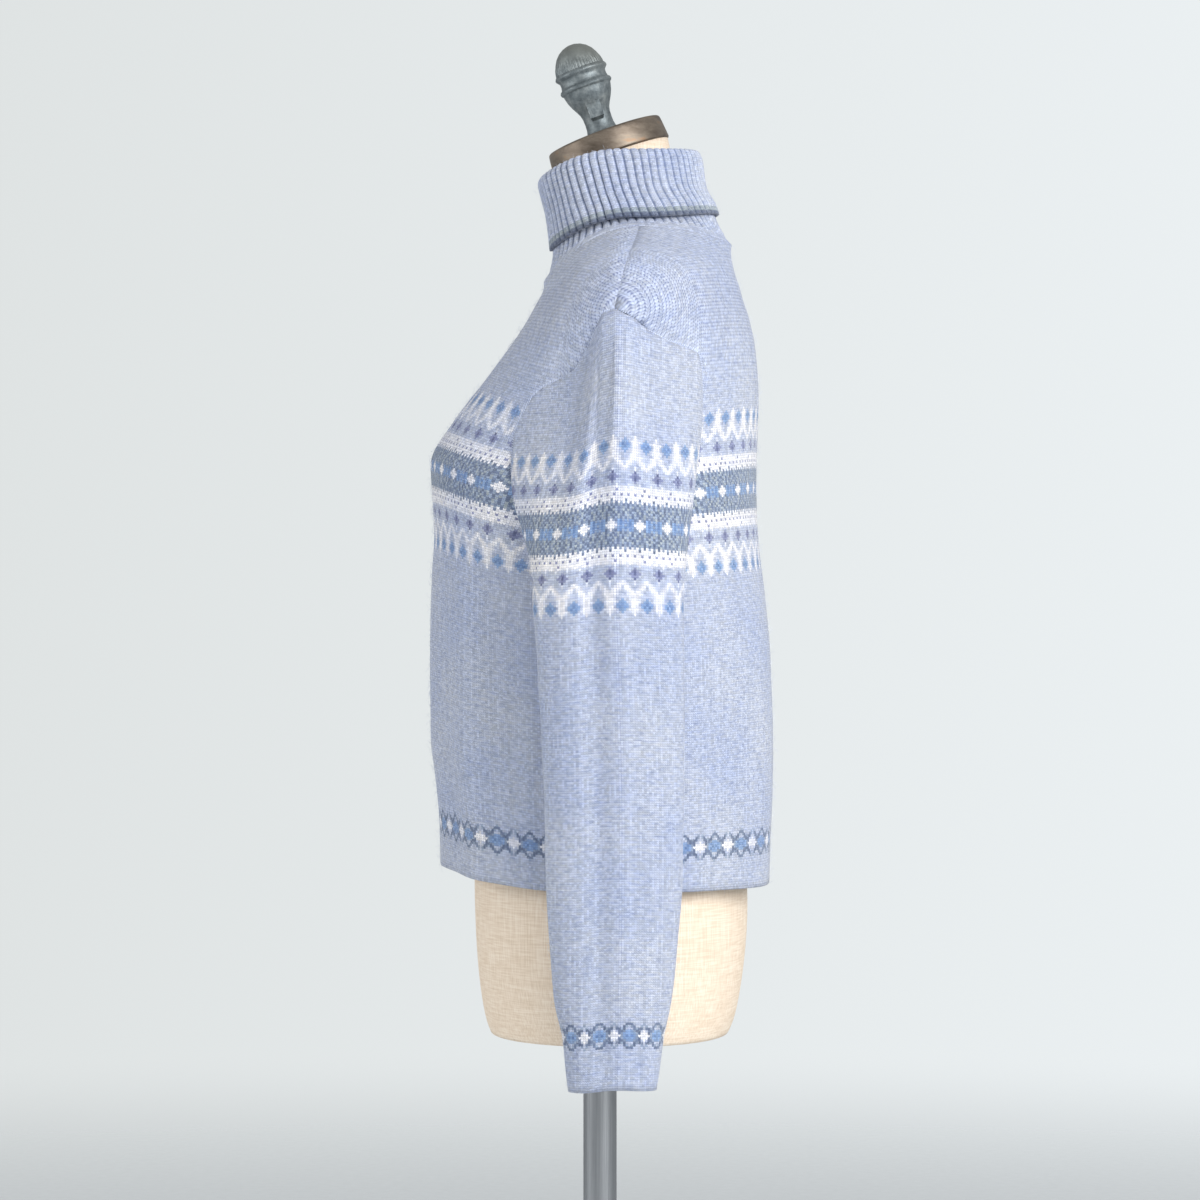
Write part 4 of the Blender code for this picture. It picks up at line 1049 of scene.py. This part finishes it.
# Rings of the tube: place on the path, face, points to a rib and share of the ribs' height. They run
# from the folded-down edge over the fold into the neck, and back on the hidden face.
stations = [(float(path), 1, 8, 1.0) for path in np.arange(LAST_PLACE, 6.99, -0.11)]
stations += [
    (float(path), 1, 8, float(np.clip((path - 4.0) / 2.0, 0, 1))) for path in np.arange(6.9, 4.0, -0.16)
]
stations += [(path, 1, 2, 0.0) for path in (3.6, 2.8, 2.0, 1.0, 0.0)]
stations += [
    (float(path), -1, 8, float(np.clip((path - 0.45) / 0.4, 0, 1))) for path in np.arange(0.0, 2.3, 0.14)
]
stations += [(path, -1, 2, 0.0) for path in (2.8, 3.6, 4.4, 5.0, 5.6, 6.4, 7.4, 8.4, LAST_PLACE)]
collar_points, collar_rows, collar_at = [], [], []
count = 0
for path, side, fine, share in stations:
    steps = RIB_COUNT * fine
    turn = 360.0 * np.arange(steps) / steps
    phase = np.arange(steps) / fine % 1
    sway = 0.30 * np.sin(path * 1.9 + turn / 11) + 0.25 * np.sin(turn / 5.3 + path * 1.3)
    crown = np.abs(np.sin(np.pi * phase)) ** 0.5
    lift = (RIB_HEIGHT * crown - RIB_SINK) * share
    angle = turn + sway + FOLD_TWIST * max(0.0, path - 5) / 4
    collar_points.append(collar_point(angle, path, side, lift))
    numbers = list(range(count, count + steps)) + [count]
    collar_rows.append((numbers, [float(k) / fine for k in range(steps + 1)]))
    collar_at += [(k / fine, path, side) for k in range(steps)]
    count += steps
collar_faces = []
for low, high in zip(collar_rows, collar_rows[1:] + collar_rows[:1]):
    collar_faces += strip_faces(low[0], low[1], high[0], high[1])
collar = mesh_piece("collar_rib", np.concatenate(collar_points), collar_faces, brushed_wool)
sizes, corners, first = face_corners(collar_faces)
collar_at = np.array(collar_at)
rib = collar_at[corners, 0]
# The faces that close the ring reach from the last rib to the first
width = np.maximum.reduceat(rib, first) - np.minimum.reduceat(rib, first)
rib = np.where(np.repeat(width > RIB_COUNT / 2, sizes) & (rib < 1), rib + RIB_COUNT, rib)
places = np.linspace(0, LAST_PLACE, 181)
side_line = np.array([ring_points(COLLAR, np.array([90.0]), place)[0] for place in places])
path_along = np.interp(collar_at[corners, 1], places, distances(side_line)) / COURSE
face_path = np.add.reduceat(collar_at[corners, 1], first) / sizes
shades = np.tile(np.append(YARN_COLOURS["."], 1.0), (len(sizes), 1))
shades[face_path > GREY_FROM] = np.append(YARN_COLOURS["g"] * 0.9, 0.6)
shades[face_path > SLATE_FROM] = np.append(linear("#757f90")[:3], 0.6)
shown = np.add.reduceat(collar_at[corners, 2], first) > 0
# Painted shade: the purl side at the bottom of each groove is darkened, as the shade of its ribs would darken
# it
face_rib = np.add.reduceat(rib, first) / sizes
groove = (np.abs(face_rib - np.round(face_rib)) < 0.125) & (face_path > 0.8) & (sizes == 4)
shades[groove, :3] *= np.array((0.55, 0.59, 0.68))
write_stitches(collar, np.stack((rib * 3, path_along), -1), shades, sizes, (face_path > 5.2) & shown)
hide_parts("collar")
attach(collar, "root")


# Seam stitches: the panels are linked edge to edge with the same yarn, one slanted stitch to every
# course or so, along the armholes, the sides and the undersides of the sleeves.
STITCH_PITCH = 0.0021
STITCH_LENGTH = 0.0030
YARN_THICKNESS = 0.0011
SEAM_DEPTH = 0.0009


def seam_line(points, outwards):
    """Evenly spaced places along a seam, with the direction along it and the one out of the cloth."""
    along = distances(points)
    at = np.arange(STITCH_PITCH / 2, along[-1], STITCH_PITCH)
    placed = points_at(at, along, points)
    out = unit(points_at(at, along, outwards))
    ahead = unit(np.gradient(placed, axis=0))
    return placed - out * SEAM_DEPTH, ahead, out


under = paths[0, 2:-3]
levels = np.linspace(HEM + 0.001, UNDERARM - 0.002, 160)
seams = [
    seam_line(edge_place, mitre), seam_line(under, np.tile((-1.0, 0.0, 0.0), (len(under), 1))),
    seam_line(body(90.0, levels), body_normal(np.full(160, 90.0), levels)),
]
seam_points, seam_ahead, seam_out = (np.concatenate([seam[k] for seam in seams]) for k in range(3))
flipped = np.array((-1.0, 1.0, 1.0))
seam_mesh = bpy.data.meshes.new("seam_stitches")
seam_mesh.from_pydata([tuple(p) for p in np.concatenate((seam_points, seam_points * flipped))], [], [])
for label, vectors in (("ahead", seam_ahead), ("out", seam_out)):
    held = seam_mesh.attributes.new(label, "FLOAT_VECTOR", "POINT")
    held.data.foreach_set("vector", np.concatenate((vectors, vectors * flipped)).astype(np.float32).ravel())


def tree_with_inputs(name, sizes):
    """A Geometry Nodes tree with a geometry input and output and one named input for each size."""
    tree = bpy.data.node_groups.new(name, "GeometryNodeTree")
    tree.interface.new_socket("Geometry", in_out="INPUT", socket_type="NodeSocketGeometry")
    tree.interface.new_socket("Geometry", in_out="OUTPUT", socket_type="NodeSocketGeometry")
    for label, value in sizes.items():
        kind = "NodeSocketInt" if isinstance(value, int) else "NodeSocketFloat"
        tree.interface.new_socket(label, in_out="INPUT", socket_type=kind)
    return tree, tree.nodes.new("NodeGroupInput"), tree.nodes.new("NodeGroupOutput")


def grown(name, source, tree, sizes):
    """The tree's result on a mesh, as a plain mesh object at the origin."""
    holder = bpy.data.objects.new(name, source)
    bpy.context.scene.collection.objects.link(holder)
    growth = holder.modifiers.new("growth", "NODES")
    growth.node_group = tree
    for item in tree.interface.items_tree:
        if item.in_out == "INPUT" and item.name in sizes:
            growth[item.identifier] = sizes[item.name]
    made = bpy.data.meshes.new_from_object(holder.evaluated_get(bpy.context.evaluated_depsgraph_get()))
    holder.modifiers.clear()
    holder.data = made
    made.name = name
    return holder


# Linking yarn: the same wool, plied tighter, so it looks a little smoother and cleaner than the cloth
linking, tree, shader = new_material("linking_yarn")
place = add_node(tree, "ShaderNodeTexCoord")
ply = add_node(tree, "ShaderNodeTexNoise", {"Scale": 700.0, "Detail": 2.0}, {"Vector": (place, "Object")})
tone = add_node(
    tree, "ShaderNodeValToRGB", links={0: (ply, "Fac")}, stops=((0.35, "#aab6d3"), (0.65, "#dde5f6"))
)
bump = add_node(tree, "ShaderNodeBump", {"Strength": 0.4, "Distance": 0.0002}, {"Height": (ply, "Fac")})
set_inputs(
    tree, shader, {"Roughness": 0.9, "Sheen Weight": 0.2},
    {"Base Color": (tone, "Color"), "Normal": (bump, "Normal")},
)

stitch_sizes = {"Stitch length": STITCH_LENGTH, "Yarn thickness": YARN_THICKNESS}
tree, taken, given = tree_with_inputs("linked_seam", stitch_sizes)
ends = []
for end in (-1, 1):
    sideways, onwards = (
        add_node(
            tree, "ShaderNodeMath", {1: end * share}, {0: (taken, "Stitch length")}, operation="MULTIPLY"
        )
        for share in (0.3, 0.5)
    )
    ends.append(add_node(tree, "ShaderNodeCombineXYZ", links={0: (sideways, 0), 1: (onwards, 0)}))
top = add_node(tree, "ShaderNodeCombineXYZ", links={2: (taken, "Yarn thickness")})
bow = add_node(
    tree, "GeometryNodeCurveQuadraticBezier", {"Resolution": 4},
    {"Start": (ends[0], 0), "Middle": (top, 0), "End": (ends[1], 0)},
)
yarn_radius = add_node(
    tree, "ShaderNodeMath", {1: 0.5}, {0: (taken, "Yarn thickness")}, operation="MULTIPLY"
)
section = add_node(tree, "GeometryNodeCurvePrimitiveCircle", {"Resolution": 5}, {"Radius": (yarn_radius, 0)})
strand_mesh = add_node(
    tree, "GeometryNodeCurveToMesh", {"Fill Caps": True}, {"Curve": (bow, 0), "Profile Curve": (section, 0)}
)
ahead = add_node(tree, "GeometryNodeInputNamedAttribute", {"Name": "ahead"}, data_type="FLOAT_VECTOR")
out = add_node(tree, "GeometryNodeInputNamedAttribute", {"Name": "out"}, data_type="FLOAT_VECTOR")
turn_ahead = add_node(tree, "FunctionNodeAlignRotationToVector", links={"Vector": (ahead, 0)}, axis="X")
turn_out = add_node(
    tree, "FunctionNodeAlignRotationToVector", links={"Rotation": (turn_ahead, 0), "Vector": (out, 0)},
    axis="Z", pivot_axis="X",
)
as_points = add_node(tree, "GeometryNodeMeshToPoints", links={"Mesh": (taken, "Geometry")})
sewn = add_node(
    tree, "GeometryNodeInstanceOnPoints",
    links={"Points": (as_points, 0), "Instance": (strand_mesh, 0), "Rotation": (turn_out, 0)},
)
solid = add_node(tree, "GeometryNodeRealizeInstances", links={0: (sewn, 0)})
smooth = add_node(tree, "GeometryNodeSetShadeSmooth", links={0: (solid, 0)})
coloured = add_node(tree, "GeometryNodeSetMaterial", {"Material": linking}, {"Geometry": (smooth, 0)})
tree.links.new(coloured.outputs[0], given.inputs[0])
seam_stitches = grown("seam_stitches", seam_mesh, tree, stitch_sizes)
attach(seam_stitches, "root")


# Raised hairs: brushing pulls the ends of single wool fibres out of the yarn all over the sweater.
# They are 3 to 6 mm long, and are drawn thicker than the real 0.02 mm so that their bloom shows.
HAIR_SIZES = {
    "Hairs per square metre": 18000.0, "Hair length": 0.0046, "Hair thickness": 0.0001, "Seed": 0,
}
# Wool fibre: pale and almost clear, so it takes the light at the edges and hardly shows elsewhere
wool_hair, tree, shader = new_material("raised_wool_hair")
place = add_node(tree, "ShaderNodeTexCoord")
dye = add_node(tree, "ShaderNodeTexNoise", {"Scale": 90.0, "Detail": 2.0}, {"Vector": (place, "Object")})
tone = add_node(
    tree, "ShaderNodeValToRGB", links={0: (dye, "Fac")}, stops=((0.35, "#c3cde4"), (0.65, "#f2f5fb"))
)
set_inputs(tree, shader, {"Roughness": 0.6, "Sheen Weight": 0.3}, {"Base Color": (tone, "Color")})

tree, taken, given = tree_with_inputs("raised_hairs", HAIR_SIZES)
outer_faces = add_node(tree, "GeometryNodeInputNamedAttribute", {"Name": "outside"}, data_type="FLOAT")
density = add_node(
    tree, "ShaderNodeMath", links={0: (taken, "Hairs per square metre"), 1: (outer_faces, 0)},
    operation="MULTIPLY",
)
roots = add_node(
    tree, "GeometryNodeDistributePointsOnFaces",
    links={"Mesh": (taken, "Geometry"), "Density": (density, 0), "Seed": (taken, "Seed")},
)
bend = add_node(tree, "ShaderNodeMath", {1: 0.45}, {0: (taken, "Hair length")}, operation="MULTIPLY")
knee = add_node(tree, "ShaderNodeCombineXYZ", links={2: (bend, 0)})
tip = add_node(tree, "ShaderNodeCombineXYZ", links={0: (taken, "Hair length"), 2: (bend, 0)})
fibre = add_node(
    tree, "GeometryNodeCurveQuadraticBezier", {"Resolution": 2, "Start": (0, 0, 0)},
    {"Middle": (knee, 0), "End": (tip, 0)},
)
hair_radius = add_node(
    tree, "ShaderNodeMath", {1: 0.5}, {0: (taken, "Hair thickness")}, operation="MULTIPLY"
)
section = add_node(tree, "GeometryNodeCurvePrimitiveCircle", {"Resolution": 3}, {"Radius": (hair_radius, 0)})
hair_mesh = add_node(
    tree, "GeometryNodeCurveToMesh", {"Fill Caps": True},
    {"Curve": (fibre, 0), "Profile Curve": (section, 0)},
)
swing = add_node(
    tree, "FunctionNodeRandomValue", {0: (-0.9, -0.5, 0.0), 1: (0.9, 0.5, 2 * math.pi)},
    {"Seed": (taken, "Seed")}, data_type="FLOAT_VECTOR",
)
leaned = add_node(
    tree, "FunctionNodeRotateRotation", links={"Rotation": (roots, "Rotation"), "Rotate By": (swing, 0)},
    rotation_space="LOCAL",
)
size = add_node(
    tree, "FunctionNodeRandomValue", {2: 0.5, 3: 1.4}, {"Seed": (taken, "Seed")}, data_type="FLOAT"
)
raised = add_node(
    tree, "GeometryNodeInstanceOnPoints",
    links={"Points": (roots, 0), "Instance": (hair_mesh, 0), "Rotation": (leaned, 0), "Scale": (size, 1)},
)
solid = add_node(tree, "GeometryNodeRealizeInstances", links={0: (raised, 0)})
coloured = add_node(tree, "GeometryNodeSetMaterial", {"Material": wool_hair}, {"Geometry": (solid, 0)})
tree.links.new(coloured.outputs[0], given.inputs[0])
BRUSHED = ("front_panel", "back_panel", "sleeve_left_knit", "sleeve_right_knit", "collar_rib")
for seed, grown_on in enumerate(BRUSHED):
    cloth = bpy.data.objects[grown_on]
    hairs = grown(grown_on + "_hairs", cloth.data.copy(), tree, {**HAIR_SIZES, "Seed": seed + 1})
    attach(hairs, "root")


# Studio: a seamless pale floor, pale surroundings that light it softly all round, a large lamp
# behind the wearer's left side, a weaker one in front, and the camera level at that side.
FLOOR_RADIUS = 6.0
FLOOR_FADE = (1.6, 5.0)
floor_ring = [
    (FLOOR_RADIUS * math.cos(2 * math.pi * i / 96), FLOOR_RADIUS * math.sin(2 * math.pi * i / 96), 0.0)
    for i in range(96)
]
# Matt paper: almost white, and fading out far from the stand so that no horizon shows
paper, tree, shader = new_material("matt_paper")
place = add_node(tree, "ShaderNodeTexCoord")
far = add_node(tree, "ShaderNodeVectorMath", links={0: (place, "Object")}, operation="LENGTH")
fade = add_node(
    tree, "ShaderNodeMapRange", {"From Min": FLOOR_FADE[0], "From Max": FLOOR_FADE[1]},
    {"Value": (far, "Value")}, interpolation_type="SMOOTHSTEP",
)
grain = add_node(tree, "ShaderNodeTexNoise", {"Scale": 60.0, "Detail": 3.0}, {"Vector": (place, "Object")})
tone = add_node(
    tree, "ShaderNodeValToRGB", links={0: (grain, "Fac")}, stops=((0.3, "#dfe2e3"), (0.7, "#e5e8e9"))
)
set_inputs(tree, shader, {"Roughness": 0.9}, {"Base Color": (tone, "Color")})
clear = add_node(tree, "ShaderNodeBsdfTransparent")
seen = add_node(tree, "ShaderNodeMixShader", links={0: (fade, 0), 1: (shader, 0), 2: (clear, 0)})
set_inputs(tree, tree.nodes["Material Output"], None, {"Surface": (seen, 0)})
studio_floor = mesh_piece("studio_floor", floor_ring, [tuple(range(96))], paper)

world = bpy.data.worlds.new("studio")
world.use_nodes = True
tree = world.node_tree
around = add_node(tree, "ShaderNodeTexCoord")
parts = add_node(tree, "ShaderNodeSeparateXYZ", links={0: (around, "Generated")})
side = add_node(tree, "ShaderNodeMapRange", {"From Min": -0.15, "From Max": 0.15}, {"Value": (parts, "Y")})
wall = add_node(tree, "ShaderNodeValToRGB", links={0: (side, 0)}, stops=((0.0, "#dfe3e3"), (1.0, "#ebf0f2")))
ray = add_node(tree, "ShaderNodeLightPath")
wall_glow = add_node(tree, "ShaderNodeBackground", {"Strength": 1.0}, {"Color": (wall, "Color")})
soft_glow = tree.nodes["Background"]
set_inputs(tree, soft_glow, {"Color": linear("#e6eaee"), "Strength": 0.54})
both = add_node(
    tree, "ShaderNodeMixShader", links={0: (ray, "Is Camera Ray"), 1: (soft_glow, 0), 2: (wall_glow, 0)}
)
set_inputs(tree, tree.nodes["World Output"], None, {"Surface": (both, 0)})
bpy.context.scene.world = world
bpy.context.scene.view_settings.view_transform = "Standard"

# Lamps: name, watts, width and place, aimed at the sweater's middle
SWEATER_MIDDLE = Vector((0, 0, 0.95))
LAMPS = (("key_lamp", 114.0, 1.8, (2.4, 1.8, 2.1)), ("front_lamp", 42.0, 1.6, (0.8, -3.1, 1.6)))
for label, power, width, place in LAMPS:
    lamp_data = bpy.data.lights.new(label, "AREA")
    lamp_data.energy = power
    lamp_data.size = width
    lamp = bpy.data.objects.new(label, lamp_data)
    lamp.location = place
    lamp.rotation_euler = (SWEATER_MIDDLE - lamp.location).to_track_quat("-Z", "Y").to_euler()
    bpy.context.scene.collection.objects.link(lamp)

CAMERA_DISTANCE = 3.6
CAMERA_HEIGHT = 0.935
LENS = 124.1
camera_data = bpy.data.cameras.new("camera")
camera_data.lens = LENS
camera = bpy.data.objects.new("camera", camera_data)
camera.location = (CAMERA_DISTANCE, 0.0, CAMERA_HEIGHT)
camera.rotation_euler = (math.radians(90), 0, math.radians(90))
bpy.context.scene.collection.objects.link(camera)
bpy.context.scene.camera = camera
